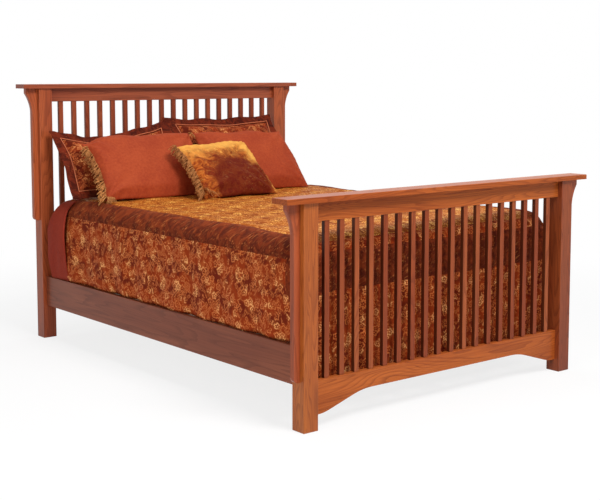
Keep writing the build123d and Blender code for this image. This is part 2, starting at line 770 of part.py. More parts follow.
nodes["box_spring"] = bed_block(box_spring_bottom, mattress_bottom, 0, mattress_corner_round,
                                mattress_edge_round)
nodes["mattress"] = bed_block(mattress_bottom, mattress_top, 0, mattress_corner_round,
                              mattress_edge_round)
nodes["comforter"] = comforter()
nodes["sheet"] = sheet()
nodes["sham_left"] = sham(sham_left_middle)
nodes["sham_right"] = sham(sham_right_middle)
nodes["rust_pillow_left"] = pillow(rust_left_width, rust_pillow_height, rust_pillow_thickness,
                                   rust_left_middle, rust_foot_y, rust_pillow_lean_degrees)
nodes["rust_pillow_right"] = pillow(rust_right_width, rust_pillow_height, rust_pillow_thickness,
                                    rust_right_middle, rust_foot_y, rust_pillow_lean_degrees)
nodes["gold_pillow"] = pillow(gold_pillow_width, gold_pillow_height, gold_pillow_thickness,
                              gold_pillow_middle, gold_foot_y, gold_pillow_lean_degrees)

os.makedirs("parts", exist_ok=True)
for name, shape in nodes.items():
    solid = Compound(children=shape) if isinstance(shape, list) else shape
    export_step(solid, f"parts/{name}.step")
    print(name, round(solid.volume))
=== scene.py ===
# %% [markdown]
# # A mission bed and its bedding
# The construction of the bed arrives as a fixed frame: posts, rails, slats, caps and
# hardware at their real size. This script dresses that frame. It gives the boards their
# stained oak, and it swaps the plain soft solids for cloth, velvet and pillows.
# Each soft piece takes its place from the box of its solid. The pillows' sizes and leans,
# the comforter's bands, the trims, the folds and the stains are values of this script.

# %% Load the frame
import math

import bmesh
import bpy
import numpy as np
from mathutils import Matrix, Vector


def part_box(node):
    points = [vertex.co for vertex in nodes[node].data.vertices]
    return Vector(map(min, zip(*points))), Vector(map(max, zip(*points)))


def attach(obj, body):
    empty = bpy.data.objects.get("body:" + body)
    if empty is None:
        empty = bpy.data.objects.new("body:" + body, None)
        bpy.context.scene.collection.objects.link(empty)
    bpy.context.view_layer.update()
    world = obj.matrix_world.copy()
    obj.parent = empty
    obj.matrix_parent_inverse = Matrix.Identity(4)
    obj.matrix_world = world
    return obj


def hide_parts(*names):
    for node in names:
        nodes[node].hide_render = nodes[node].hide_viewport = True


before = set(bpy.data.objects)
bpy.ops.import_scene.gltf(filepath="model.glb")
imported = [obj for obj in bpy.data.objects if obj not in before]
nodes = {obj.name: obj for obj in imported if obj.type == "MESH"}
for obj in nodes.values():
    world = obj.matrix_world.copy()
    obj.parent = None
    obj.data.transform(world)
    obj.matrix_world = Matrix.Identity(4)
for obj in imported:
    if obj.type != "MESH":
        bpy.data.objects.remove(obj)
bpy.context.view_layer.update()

MM = 0.001
ROOT_BODY = "bed_frame"

# %% [markdown]
# ## The camera
# A product photographer stood off the foot corner with a long lens, so the uprights stay
# nearly parallel. The same look needs a small lens shift: the camera tilts down less, and
# the shift lowers the picture instead.

# %% Camera
CAMERA_PLACE = (-3.6664, -4.6230, 1.4004)
CAMERA_YAW = 0.6815
CAMERA_PITCH = 0.0981
CAMERA_LENS_MM = 71.372
CAMERA_SHIFT = -0.1
SENSOR_WIDTH_MM = 36.0
FARTHEST_SEEN = 200.0

camera_data = bpy.data.cameras.new("camera")
camera_data.lens = CAMERA_LENS_MM
camera_data.sensor_width = SENSOR_WIDTH_MM
camera_data.shift_y = CAMERA_SHIFT
camera_data.clip_end = FARTHEST_SEEN
camera = bpy.data.objects.new("camera", camera_data)
camera.location = CAMERA_PLACE
camera.rotation_euler = (math.pi / 2 - CAMERA_PITCH, 0, -CAMERA_YAW)
bpy.context.scene.collection.objects.link(camera)
bpy.context.scene.camera = camera
print("camera stands", round(Vector(CAMERA_PLACE).length, 2), "m from the bed's middle")

# %% [markdown]
# ## Building shader nodes
# A material is a small graph. These helpers keep the graphs short to read: they add a node
# and wire its inputs, do arithmetic, mix colours, draw noise and build groups. Another one
# turns the usual 0 to 255 colour into the linear numbers that the renderer works in.

# %% Node helpers
def linear(red, green, blue):
    """A colour given as on a screen, from 0 to 255, in the renderer's linear numbers."""
    shares = [value / 255 for value in (red, green, blue)]
    curve = [s / 12.92 if s <= 0.04045 else ((s + 0.055) / 1.055) ** 2.4 for s in shares]
    return (*curve, 1.0)


def wire(tree, node, inputs):
    """Link or set a node's inputs by name or number."""
    for key, value in inputs.items():
        if isinstance(value, bpy.types.NodeSocket):
            tree.links.new(value, node.inputs[key])
        else:
            node.inputs[key].default_value = value
    return node


def add_node(tree, kind, inputs=None, **settings):
    """Add a node, set its options, and wire its inputs."""
    node = tree.nodes.new(kind)
    for name, value in settings.items():
        setattr(node, name, value)
    return wire(tree, node, inputs or {})


def calc(tree, operation, *values):
    """One step of arithmetic on sockets or numbers."""
    node = add_node(tree, "ShaderNodeMath", dict(enumerate(values)), operation=operation)
    return node.outputs[0]


def vector_calc(tree, operation, *values):
    """One step of arithmetic on vectors."""
    node = add_node(tree, "ShaderNodeVectorMath", dict(enumerate(values)), operation=operation)
    return node.outputs[0]


def blend_colors(tree, share, first, second):
    """Mix two colours by a share from 0 to 1."""
    node = add_node(tree, "ShaderNodeMix", data_type="RGBA", blend_type="MIX")
    return wire(tree, node, {0: share, 6: first, 7: second}).outputs[2]


def soft_step(tree, value, low, high):
    """0 below low, 1 above high, smooth in between."""
    inputs = {"Value": value, "From Min": low, "From Max": high}
    return add_node(tree, "ShaderNodeMapRange", inputs, interpolation_type="SMOOTHSTEP").outputs[0]


def noise(tree, position, scale, detail=2.0, roughness=0.5, distortion=0.0):
    """A noise value about the middle of 0 to 1."""
    inputs = {"Vector": position, "Scale": scale, "Detail": detail,
              "Roughness": roughness, "Distortion": distortion}
    return add_node(tree, "ShaderNodeTexNoise", inputs).outputs["Fac"]


print("node helpers ready")

# %% [markdown]
# ## Groups and materials
# An effect that several finishes share is built once as a node group with named inputs.
# Each material then places the group and keeps its own Principled shader.

# %% Group and material helpers
def new_group(name, inputs, outputs):
    """A node group. Its inputs are (name, kind, value) and its outputs are (name, kind)."""
    tree = bpy.data.node_groups.new(name, "ShaderNodeTree")
    kinds = {"color": "NodeSocketColor", "value": "NodeSocketFloat", "vector": "NodeSocketVector"}
    for label, kind, value in inputs:
        socket = tree.interface.new_socket(label, in_out="INPUT", socket_type=kinds[kind])
        if value is not None:
            socket.default_value = value
    for label, kind in outputs:
        tree.interface.new_socket(label, in_out="OUTPUT", socket_type=kinds[kind])
    start = tree.nodes.new("NodeGroupInput").outputs
    end = tree.nodes.new("NodeGroupOutput").inputs
    return tree, start, end


def use_group(tree, group, inputs):
    """Place a group in a material with its own values."""
    return add_node(tree, "ShaderNodeGroup", inputs, node_tree=group).outputs


def new_material(name, **shader_values):
    """A material with its Principled shader, whose plain values are set on its own sockets."""
    material = bpy.data.materials.new(name)
    material.use_nodes = True
    shader = material.node_tree.nodes["Principled BSDF"]
    for key, value in shader_values.items():
        shader.inputs[key.replace("_", " ")].default_value = value
    return material, material.node_tree, shader


def raise_surface(tree, shader, height, strength, distance):
    """Feed a height to the shader's normal through a bump."""
    inputs = {"Height": height, "Strength": strength, "Distance": distance}
    bump = add_node(tree, "ShaderNodeBump", inputs)
    tree.links.new(bump.outputs[0], shader.inputs["Normal"])


print("group and material helpers ready")

# %% [markdown]
# ## Oak grain
# Plain-sawn oak shows arches and long flames where the saw ran through the growth rings,
# and short dark pores all over. Rings could be drawn as real cylinders, but the level
# lines of a noise that is stretched along the board give the same nested arches, and they
# never repeat. The group takes a position whose Z runs along the board.

# %% Oak grain group
oak_grain, given, out = new_group(
    "oak_grain",
    [("Position", "vector", None), ("Light", "color", None), ("Middle", "color", None),
     ("Dark", "color", None), ("Rings", "value", 22.0)],
    [("Colour", "color"), ("Height", "value"), ("Roughness", "value")])
board = add_node(oak_grain, "ShaderNodeMapping", {"Vector": given["Position"], "Scale": (13, 13, 1.0)})
field = noise(oak_grain, board.outputs[0], 1.0, 1.5, 0.4, 0.35)
turns = calc(oak_grain, "MULTIPLY", field, given["Rings"])
wave = calc(oak_grain, "FRACT", turns)
ring = soft_step(oak_grain, wave, 0.45, 0.96)
fine = add_node(oak_grain, "ShaderNodeMapping", {"Vector": given["Position"], "Scale": (620, 620, 14)})
pores = soft_step(oak_grain, noise(oak_grain, fine.outputs[0], 1.0, 2.0), 0.60, 0.72)
streaks = add_node(oak_grain, "ShaderNodeMapping", {"Vector": given["Position"], "Scale": (150, 150, 3)})
fibre = noise(oak_grain, streaks.outputs[0], 1.0, 3.0)
broad = add_node(oak_grain, "ShaderNodeMapping", {"Vector": given["Position"], "Scale": (7, 7, 0.9)})
tone = noise(oak_grain, broad.outputs[0], 1.0, 2.0)
ground = blend_colors(oak_grain, soft_step(oak_grain, tone, 0.35, 0.68), given["Middle"], given["Light"])
ringed = blend_colors(oak_grain, calc(oak_grain, "MULTIPLY", ring, 0.40), ground, given["Dark"])
fibre_share = calc(oak_grain, "MULTIPLY", soft_step(oak_grain, fibre, 0.35, 0.75), 0.30)
fibred = blend_colors(oak_grain, fibre_share, ringed, given["Dark"])
pore_depth = calc(oak_grain, "ADD", calc(oak_grain, "MULTIPLY", ring, 0.5), 0.18)
pore_share = calc(oak_grain, "MULTIPLY", pores, pore_depth)
pored = blend_colors(oak_grain, pore_share, fibred, linear(48, 16, 8))
grain_height = calc(oak_grain, "SUBTRACT", calc(oak_grain, "MULTIPLY", fibre, 0.3), pore_share)
grain_roughness = calc(oak_grain, "ADD", calc(oak_grain, "MULTIPLY", pore_share, 0.3), 0.33)
oak_grain.links.new(pored, out["Colour"])
oak_grain.links.new(grain_height, out["Height"])
oak_grain.links.new(grain_roughness, out["Roughness"])
print("oak grain group:", len(oak_grain.nodes), "nodes")

# %% [markdown]
# ## Stained oak, board by board
# A joiner lays the grain along each board: up the posts and slats, across in the caps and
# panel rails, and lengthwise in the side rails. Each material turns the position so that
# the group's Z follows its board. Boards from different trees take a stain differently, so
# each family of boards has three tones of its own. The right foot post's darker tones and
# the darkened side faces of slats and corbels are painted shade. The lacquer is a thin clear coat.

# %% Oak materials
OAK_LIGHT = linear(186, 98, 42)
OAK_MIDDLE = linear(162, 78, 32)
OAK_DARK = linear(106, 40, 16)
QUARTER = math.pi / 2
UPRIGHT = (0, 0, 0)
ACROSS = (0, QUARTER, 0)
ALONG = (QUARTER, 0, 0)


def oak(name, turn, light=OAK_LIGHT, middle=OAK_MIDDLE, dark=OAK_DARK, rings=22.0,
        painted_side_shade=0.0, gloss=0.22):
    """Stained oak with its grain turned one way. Its left and right faces can be darkened by a share, as
    painted shade.
    """
    material, tree, shader = new_material(name, Coat_Weight=gloss * 0.27, Coat_Roughness=0.22,
                                          Specular_IOR_Level=gloss)
    place = add_node(tree, "ShaderNodeTexCoord").outputs["Object"]
    turned = add_node(tree, "ShaderNodeMapping", {"Vector": place, "Rotation": turn})
    grain = use_group(tree, oak_grain, {"Position": turned.outputs[0], "Light": light, "Middle": middle,
                                        "Dark": dark, "Rings": rings})
    color = grain["Colour"]
    # Painted shade: faces that look left or right are darkened toward deep brown, as if in shadow.
    if painted_side_shade:
        normal = add_node(tree, "ShaderNodeNewGeometry").outputs["Normal"]
        facing = add_node(tree, "ShaderNodeSeparateXYZ", {0: normal})
        on_side = soft_step(tree, calc(tree, "ABSOLUTE", facing.outputs[0]), 0.5, 0.9)
        color = blend_colors(tree, calc(tree, "MULTIPLY", on_side, painted_side_shade), color, linear(44, 14, 8))
    tree.links.new(color, shader.inputs["Base Color"])
    tree.links.new(grain["Roughness"], shader.inputs["Roughness"])
    raise_surface(tree, shader, grain["Height"], 0.25, 0.0006)
    return material


oak_upright = oak("oak_upright", UPRIGHT, linear(194, 113, 46), linear(170, 88, 36),
                  linear(104, 42, 16), rings=26.0)
# The slats, head slats and corbels carry painted shade on their left and right faces.
oak_slat = oak("oak_slat", UPRIGHT, linear(164, 85, 45), linear(140, 63, 32),
               linear(92, 35, 18), rings=20.0, painted_side_shade=0.75, gloss=0.14)
oak_head_slat = oak("oak_head_slat", UPRIGHT, linear(166, 84, 52), linear(144, 66, 40),
                    linear(98, 38, 24), rings=20.0, painted_side_shade=0.2, gloss=0.1)
oak_corbel = oak("oak_corbel", UPRIGHT, linear(180, 90, 50), linear(156, 72, 40),
                 linear(106, 42, 22), rings=16.0, painted_side_shade=0.12)
# Painted shade: a darker copy of the upright oak for the right foot post, which stands in shadow.
oak_painted_shade_post = oak("oak_painted_shade_post", UPRIGHT, linear(150, 74, 38), linear(126, 56, 28),
                     linear(84, 32, 14))
oak_across = oak("oak_across", ACROSS, gloss=0.12)
oak_head = oak("oak_head", ACROSS, linear(168, 86, 54), linear(146, 68, 42),
               linear(100, 40, 24), rings=14.0)
oak_along = oak("oak_along", ALONG, linear(146, 82, 56), linear(126, 66, 44),
                linear(94, 44, 28), rings=12.0, gloss=0.14)
plain_wood = oak("plain_wood", ACROSS, linear(206, 172, 122), linear(190, 152, 102),
                 linear(150, 108, 66), rings=9.0)
woods = (oak_upright, oak_slat, oak_head_slat, oak_corbel, oak_painted_shade_post, oak_across,
         oak_head, oak_along, plain_wood)
print("wood materials:", len(woods))

# %% [markdown]
# ## Plated steel
# The hook plates and their screws are zinc plated. Zinc looks grey and slightly mottled,
# because its crystals grow in patches, so a noise varies its grey and its roughness.

# %% Zinc plate
zinc_plate, zinc_tree, zinc_shader = new_material("zinc_plate", Metallic=1.0)
zinc_place = add_node(zinc_tree, "ShaderNodeTexCoord").outputs["Object"]
patches = noise(zinc_tree, zinc_place, 260.0, 3.0)
zinc_color = blend_colors(zinc_tree, patches, linear(150, 152, 156), linear(205, 205, 200))
zinc_tree.links.new(zinc_color, zinc_shader.inputs["Base Color"])
zinc_tree.links.new(soft_step(zinc_tree, patches, 0.1, 1.3), zinc_shader.inputs["Roughness"])
print("zinc plate ready")

# %% [markdown]
# ## Dress the boards
# The boards keep their exact shape from the frame. Two modifiers only soften the arrises:
# Weld joins the split corners of the imported mesh, and Bevel rounds each edge by about a
# millimetre, which is what catches the light on real furniture.

# %% Boards and hardware
ARRIS = 1.4 * MM
WELD_GAP = 0.01 * MM
SHARP_EDGE = math.radians(40)
wood_of = {}
for name in nodes:
    if name == "foot_post_left":
        wood_of[name] = oak_upright
    # The right foot post takes the darker copy of the upright oak as painted shade.
    if name == "foot_post_right":
        wood_of[name] = oak_painted_shade_post
    if "corbel_" in name or name.startswith("head_post"):
        wood_of[name] = oak_corbel
    if name.startswith("foot_slat"):
        wood_of[name] = oak_slat
    if name == "head_slats":
        wood_of[name] = oak_head_slat
    if name.endswith("_cap") or name.endswith("_top_rail") or name.endswith("_bottom_rail"):
        wood_of[name] = oak_across
    if name in ("head_cap", "head_top_rail", "head_bottom_rail"):
        wood_of[name] = oak_head
    if name.startswith("side_rail"):
        wood_of[name] = oak_along
    if name.startswith("cleat_") or name in ("bed_slats", "center_beam", "center_legs"):
        wood_of[name] = plain_wood
for name in ("corbel_dowels", "cap_dowels"):
    wood_of[name] = plain_wood
for name in ("rail_hook_plates", "post_slot_plates", "plate_screws", "cleat_screws",
             "leveller_1", "leveller_2", "leveller_3"):
    wood_of[name] = zinc_plate
for name, material in wood_of.items():
    board_object = nodes[name]
    board_object.data.materials.clear()
    board_object.data.materials.append(material)
    if material is zinc_plate or name.endswith("dowels"):
        continue
    weld = board_object.modifiers.new("weld", "WELD")
    weld.merge_threshold = WELD_GAP
    bevel = board_object.modifiers.new("bevel", "BEVEL")
    bevel.width = ARRIS
    bevel.segments = 2
    bevel.limit_method = "ANGLE"
    bevel.angle_limit = SHARP_EDGE
print("boards and hardware dressed:", len(wood_of))

# %% [markdown]
# ## Cloth finishes
# Three groups serve all the bedding. The weave group draws crossing threads. The velvet
# group makes the streaks and pools of light of a crushed pile. The brocade group draws a
# woven all-over figure of little flowers that brighten into clusters. The clusters sit in
# a half-drop repeat, the traditional way to lay out such a cloth.

# %% Weave group
weave, given, out = new_group("weave", [("Position", "vector", None), ("Threads", "value", 900.0)],
                              [("Height", "value"), ("Shade", "value")])
scaled = vector_calc(weave, "SCALE", given["Position"])
weave.links.new(given["Threads"], scaled.node.inputs["Scale"])
axes = add_node(weave, "ShaderNodeSeparateXYZ", {0: scaled}).outputs
warp_thread = calc(weave, "ABSOLUTE", calc(weave, "SINE", calc(weave, "ADD", axes[0], axes[2])))
weft_thread = calc(weave, "ABSOLUTE", calc(weave, "SINE", calc(weave, "SUBTRACT", axes[1], axes[2])))
crossed = calc(weave, "MAXIMUM", warp_thread, weft_thread)
weave.links.new(crossed, out["Height"])
weave.links.new(noise(weave, given["Position"], 90.0, 3.0), out["Shade"])
print("weave group:", len(weave.nodes), "nodes")

# %% [markdown]
# ## Crushed velvet
# The pile of crushed velvet lies in pools, and brushed strokes in it catch the light. A
# broad noise makes the pools, and a noise stretched along one way makes the strokes.

# %% Crushed velvet group
velvet, given, out = new_group(
    "crushed_velvet",
    [("Position", "vector", None), ("Dark", "color", None), ("Middle", "color", None),
     ("Light", "color", None), ("Size", "value", 26.0), ("Shine", "value", 0.5),
     ("Stroke way", "vector", (0.7, -0.5, 0.5))],
    [("Colour", "color"), ("Height", "value"), ("Roughness", "value")])
pools = noise(velvet, given["Position"], given["Size"], 4.0, 0.55, 1.2)
stroke_way = vector_calc(velvet, "NORMALIZE", given["Stroke way"])
first_side = vector_calc(velvet, "CROSS_PRODUCT", stroke_way, (0.0, 0.0, 1.0))
first_side = vector_calc(velvet, "NORMALIZE", first_side)
second_side = vector_calc(velvet, "CROSS_PRODUCT", stroke_way, first_side)


def along_way(way, scale):
    """The position measured along one way, times a scale."""
    node = add_node(velvet, "ShaderNodeVectorMath", {0: given["Position"], 1: way}, operation="DOT_PRODUCT")
    return calc(velvet, "MULTIPLY", node.outputs["Value"], scale)


stroke_place = add_node(velvet, "ShaderNodeCombineXYZ", {0: along_way(stroke_way, 11.0),
                                                         1: along_way(first_side, 130.0),
                                                         2: along_way(second_side, 130.0)})
strokes = noise(velvet, stroke_place.outputs[0], 1.0, 3.0, 0.6, 0.4)
brushed = soft_step(velvet, noise(velvet, given["Position"], 8.0, 2.0), 0.40, 0.60)
pooled = blend_colors(velvet, soft_step(velvet, pools, 0.36, 0.66), given["Dark"], given["Middle"])
lit = calc(velvet, "MULTIPLY", soft_step(velvet, strokes, 0.54, 0.70), given["Shine"])
lit = calc(velvet, "MULTIPLY", lit, calc(velvet, "ADD", calc(velvet, "MULTIPLY", brushed, 0.75), 0.25))
velvet.links.new(blend_colors(velvet, lit, pooled, given["Light"]), out["Colour"])
velvet.links.new(calc(velvet, "ADD", pools, calc(velvet, "MULTIPLY", strokes, 0.4)), out["Height"])
velvet.links.new(calc(velvet, "SUBTRACT", 0.85, calc(velvet, "MULTIPLY", lit, 0.35)), out["Roughness"])
print("velvet group:", len(velvet.nodes), "nodes")

# %% [markdown]
# ## The brocade's figure
# The figure could be an image, but flowers drawn by nodes stay sharp at any distance. A
# Voronoi texture scatters one flower to a cell. Its outline is a circle whose radius swells
# and shrinks with the angle, and a bud sits in the middle. Where the half-drop repeat comes
# round, the flowers are gilded and brighten into a cluster.

# %% Brocade group
REPEAT_WIDE = 0.128
REPEAT_TALL = 0.150
brocade, given, out = new_group(
    "brocade",
    [("Cloth", "vector", None), ("Ground", "color", None), ("Ground deep", "color", None),
     ("Figure", "color", None), ("Figure bright", "color", None), ("Open ground", "value", 0.5)],
    [("Colour", "color"), ("Height", "value"), ("Figure mask", "value")])
wander = add_node(brocade, "ShaderNodeTexNoise", {"Vector": given["Cloth"], "Scale": 14.0, "Detail": 2.0})
wander_off = vector_calc(brocade, "SUBTRACT", wander.outputs["Color"], (0.5, 0.5, 0.5))
cloth_place = vector_calc(brocade, "MULTIPLY_ADD", wander_off, (0.030, 0.030, 0.0), given["Cloth"])
across_up = add_node(brocade, "ShaderNodeSeparateXYZ", {0: cloth_place}).outputs


def fade(value, low, high):
    """1 below low, 0 above high."""
    return calc(brocade, "SUBTRACT", 1.0, soft_step(brocade, value, low, high))


def repeat_reach(shift_x, shift_y):
    """Distance from the middle of the nearest repeat. Every other column drops by half."""
    column = calc(brocade, "ADD", calc(brocade, "DIVIDE", across_up[0], REPEAT_WIDE), shift_x)
    odd = calc(brocade, "MODULO", calc(brocade, "ABSOLUTE", calc(brocade, "FLOOR", column)), 2.0)
    row = calc(brocade, "ADD", calc(brocade, "DIVIDE", across_up[1], REPEAT_TALL), shift_y)
    row = calc(brocade, "ADD", row, calc(brocade, "MULTIPLY", odd, 0.5))
    across = calc(brocade, "SUBTRACT", calc(brocade, "FRACT", column), 0.5)
    x = calc(brocade, "MULTIPLY", across, REPEAT_WIDE)
    upward = calc(brocade, "SUBTRACT", calc(brocade, "FRACT", row), 0.5)
    y = calc(brocade, "MULTIPLY", upward, REPEAT_TALL)
    squares = calc(brocade, "ADD", calc(brocade, "MULTIPLY", x, x), calc(brocade, "MULTIPLY", y, y))
    return calc(brocade, "SQRT", squares)


def florets(cells, radius, petals, line):
    """Little flowers scattered one to a cell: a lobed outline, and a bud at the middle."""
    scatter = add_node(brocade, "ShaderNodeTexVoronoi",
                       {"Vector": cloth_place, "Scale": cells, "Randomness": 0.8}, voronoi_dimensions="2D")
    local = vector_calc(brocade, "SUBTRACT", cloth_place, scatter.outputs["Position"])
    parts = add_node(brocade, "ShaderNodeSeparateXYZ", {0: local}).outputs
    angle = calc(brocade, "ARCTAN2", parts[1], parts[0])
    squares = calc(brocade, "ADD", calc(brocade, "MULTIPLY", parts[0], parts[0]),
                   calc(brocade, "MULTIPLY", parts[1], parts[1]))
    reach = calc(brocade, "SQRT", squares)
    lobes = calc(brocade, "ABSOLUTE", calc(brocade, "COSINE", calc(brocade, "MULTIPLY", angle, petals / 2)))
    swell = calc(brocade, "ADD", calc(brocade, "MULTIPLY", lobes, 0.4), 0.6)
    edge = calc(brocade, "MULTIPLY", swell, radius)
    gap = calc(brocade, "ABSOLUTE", calc(brocade, "SUBTRACT", reach, edge))
    bud = fade(reach, radius * 0.16, radius * 0.30)
    return calc(brocade, "MAXIMUM", fade(gap, line * 0.4, line), bud)


large = florets(27.0, 0.0160, 5, 0.0050)
medium = florets(45.0, 0.0085, 4, 0.0040)
cluster = fade(repeat_reach(0.0, 0.0), 0.020, 0.042)
second_cluster = fade(repeat_reach(0.5, 0.30), 0.012, 0.030)
cluster = calc(brocade, "MAXIMUM", cluster, calc(brocade, "MULTIPLY", second_cluster, 0.7))
patchy = noise(brocade, cloth_place, 17.0, 1.0)
openness = calc(brocade, "ADD", patchy, calc(brocade, "MULTIPLY", cluster, 0.4))
open_end = calc(brocade, "ADD", given["Open ground"], 0.07)
covered = soft_step(brocade, openness, given["Open ground"], open_end)
uncovered = calc(brocade, "MULTIPLY", calc(brocade, "SUBTRACT", 1.0, covered), 0.8)
filler_place = soft_step(brocade, noise(brocade, given["Cloth"], 21.0, 1.0), 0.40, 0.50)
filler = calc(brocade, "MULTIPLY", calc(brocade, "MULTIPLY", medium, uncovered), filler_place)
figure = calc(brocade, "MAXIMUM", calc(brocade, "MULTIPLY", large, covered), filler)
worn = soft_step(brocade, noise(brocade, cloth_place, 110.0, 1.0), 0.22, 0.44)
figure = calc(brocade, "MULTIPLY", figure, worn)
print("flowers and clusters drawn")

# %% [markdown]
# ## The brocade's ground
# A woven ground is never one colour: it shades a little with each column of the repeat.
# Inside a cluster the gold threads float over the ground and tint it.

# %% Brocade colours
columns = calc(brocade, "SINE", calc(brocade, "MULTIPLY", across_up[0], 2 * math.pi / REPEAT_WIDE))
uneven = noise(brocade, given["Cloth"], 12.0, 2.0)
shade = calc(brocade, "ADD", calc(brocade, "MULTIPLY", columns, 0.09), uneven)
ground_share = soft_step(brocade, shade, 0.42, 0.62)
ground_color = blend_colors(brocade, ground_share, given["Ground"], given["Ground deep"])
gilt = soft_step(brocade, noise(brocade, given["Cloth"], 22.0, 2.0), 0.36, 0.56)
glow = calc(brocade, "MULTIPLY", cluster, gilt)
tint = calc(brocade, "MULTIPLY", glow, 0.40)
filled_ground = blend_colors(brocade, tint, ground_color, given["Figure"])
figure_color = blend_colors(brocade, glow, given["Figure"], given["Figure bright"])
brocade.links.new(blend_colors(brocade, figure, filled_ground, figure_color), out["Colour"])
brocade.links.new(figure, out["Height"])
brocade.links.new(figure, out["Figure mask"])
print("brocade group:", len(brocade.nodes), "nodes")

# %% [markdown]
# ## Brocade recipe
# Each cloth places a group with its own colours. Sheen is the soft halo at the edge of
# fabric where the light skims across the fibres: strong on velvet, light on sateen.

# %% Brocade recipe
CLOTH_MAP = "cloth"
WARM_SHEEN = linear(236, 150, 96)


def brocade_cloth(name, ground, deep, figure, bright, open_ground, grow=1.0):
    """A figured cloth laid along the cloth's own map."""
    material, tree, shader = new_material(name, Sheen_Weight=0.04, Sheen_Roughness=0.5,
                                          Sheen_Tint=WARM_SHEEN, Specular_IOR_Level=0.06)
    laid = add_node(tree, "ShaderNodeUVMap", uv_map=CLOTH_MAP).outputs[0]
    place = vector_calc(tree, "MULTIPLY", laid, (grow, grow, grow))
    figured = use_group(tree, brocade, {"Cloth": place, "Ground": ground, "Ground deep": deep,
                                        "Figure": figure, "Figure bright": bright,
                                        "Open ground": open_ground})
    threads = use_group(tree, weave, {"Position": place, "Threads": 2600.0})
    tree.links.new(figured["Colour"], shader.inputs["Base Color"])
    tree.links.new(calc(tree, "MULTIPLY", figured["Figure mask"], 0.22), shader.inputs["Metallic"])
    roughness = calc(tree, "SUBTRACT", 0.72, calc(tree, "MULTIPLY", figured["Figure mask"], 0.27))
    tree.links.new(roughness, shader.inputs["Roughness"])
    height = calc(tree, "ADD", figured["Height"], calc(tree, "MULTIPLY", threads["Height"], 0.25))
    raise_surface(tree, shader, height, 0.5, 0.0012)
    return material


print("brocade recipe ready")

# %% [markdown]
# Velvet changes colour with the way its pile lies. On the gold pillow, shade is painted dark
# round one hollow, and painted highlights run toward the top and the right edges.

# %% Velvet recipe
def paint_pile_light_and_shade(tree, color, light, painted_hollow):
    """Paint light and shade on a velvet's pile: painted shade round the hollow's place, painted highlights
    toward the top and the right.
    """
    cloth_place = add_node(tree, "ShaderNodeUVMap", uv_map=CLOTH_MAP).outputs[0]
    bent = add_node(tree, "ShaderNodeTexNoise", {"Vector": cloth_place, "Scale": 11.0, "Detail": 4.0})
    bent_off = vector_calc(tree, "SUBTRACT", bent.outputs["Color"], (0.5, 0.5, 0.5))
    bent_place = vector_calc(tree, "MULTIPLY_ADD", bent_off, (0.17, 0.17, 0.0), cloth_place)
    from_hollow = add_node(tree, "ShaderNodeVectorMath", {0: bent_place, 1: painted_hollow}, operation="DISTANCE")
    # Painted shade round the hollow, and painted highlights toward the top and right edges.
    painted_lit_share = soft_step(tree, from_hollow.outputs["Value"], 0.150, 0.225)
    shadowed = blend_colors(tree, 0.88, color, linear(92, 20, 8))
    parts = add_node(tree, "ShaderNodeSeparateXYZ", {0: bent_place}).outputs
    toward_top = soft_step(tree, parts[1], 0.03, 0.17)
    slanted = calc(tree, "ADD", parts[0], calc(tree, "MULTIPLY", parts[1], 0.4))
    toward_right = soft_step(tree, slanted, 0.14, 0.215)
    painted_lit_share = calc(tree, "MAXIMUM", painted_lit_share, calc(tree, "MULTIPLY", toward_right, 0.8))
    painted_edge_highlight = calc(tree, "MULTIPLY", calc(tree, "MAXIMUM", toward_top, toward_right), 0.75)
    bright = blend_colors(tree, painted_edge_highlight, color, light)
    return blend_colors(tree, painted_lit_share, shadowed, bright)


def velvet_cloth(name, dark, middle, light, size, shine, painted_hollow=None):
    """Crushed velvet. If given, the last argument is the place on the cloth's map round which shade is
    painted dark, with painted highlights toward the top and right.
    """
    material, tree, shader = new_material(name, Sheen_Weight=0.12, Sheen_Roughness=0.4,
                                          Sheen_Tint=WARM_SHEEN, Specular_IOR_Level=0.1)
    place = add_node(tree, "ShaderNodeTexCoord").outputs["Object"]
    pile = use_group(tree, velvet, {"Position": place, "Dark": dark, "Middle": middle, "Light": light,
                                    "Size": size, "Shine": shine})
    color = paint_pile_light_and_shade(tree, pile["Colour"], light, painted_hollow) if painted_hollow else pile["Colour"]
    tree.links.new(color, shader.inputs["Base Color"])
    tree.links.new(pile["Roughness"], shader.inputs["Roughness"])
    raise_surface(tree, shader, pile["Height"], 0.6, 0.003)
    return material


print("velvet recipe ready")

# %% [markdown]
# Plain cloth is one colour with a second, deeper one in soft patches. The weave group adds
# its threads as a fine bump.

# %% Plain cloth recipe
def plain_cloth(name, main, deep, threads=2200.0):
    """A plain woven cloth with faint slubs."""
    material, tree, shader = new_material(name, Sheen_Weight=0.05, Sheen_Roughness=0.5, Roughness=0.75,
                                          Specular_IOR_Level=0.12, Sheen_Tint=WARM_SHEEN)
    place = add_node(tree, "ShaderNodeTexCoord").outputs["Object"]
    woven = use_group(tree, weave, {"Position": place, "Threads": threads})
    mottled = calc(tree, "ADD", calc(tree, "MULTIPLY", woven["Shade"], 0.6),
                   calc(tree, "MULTIPLY", noise(tree, place, 7.0, 2.0), 0.5))
    color = blend_colors(tree, soft_step(tree, mottled, 0.35, 0.75), main, deep)
    tree.links.new(color, shader.inputs["Base Color"])
    raise_surface(tree, shader, woven["Height"], 0.25, 0.0005)
    return material


print("plain cloth recipe ready")
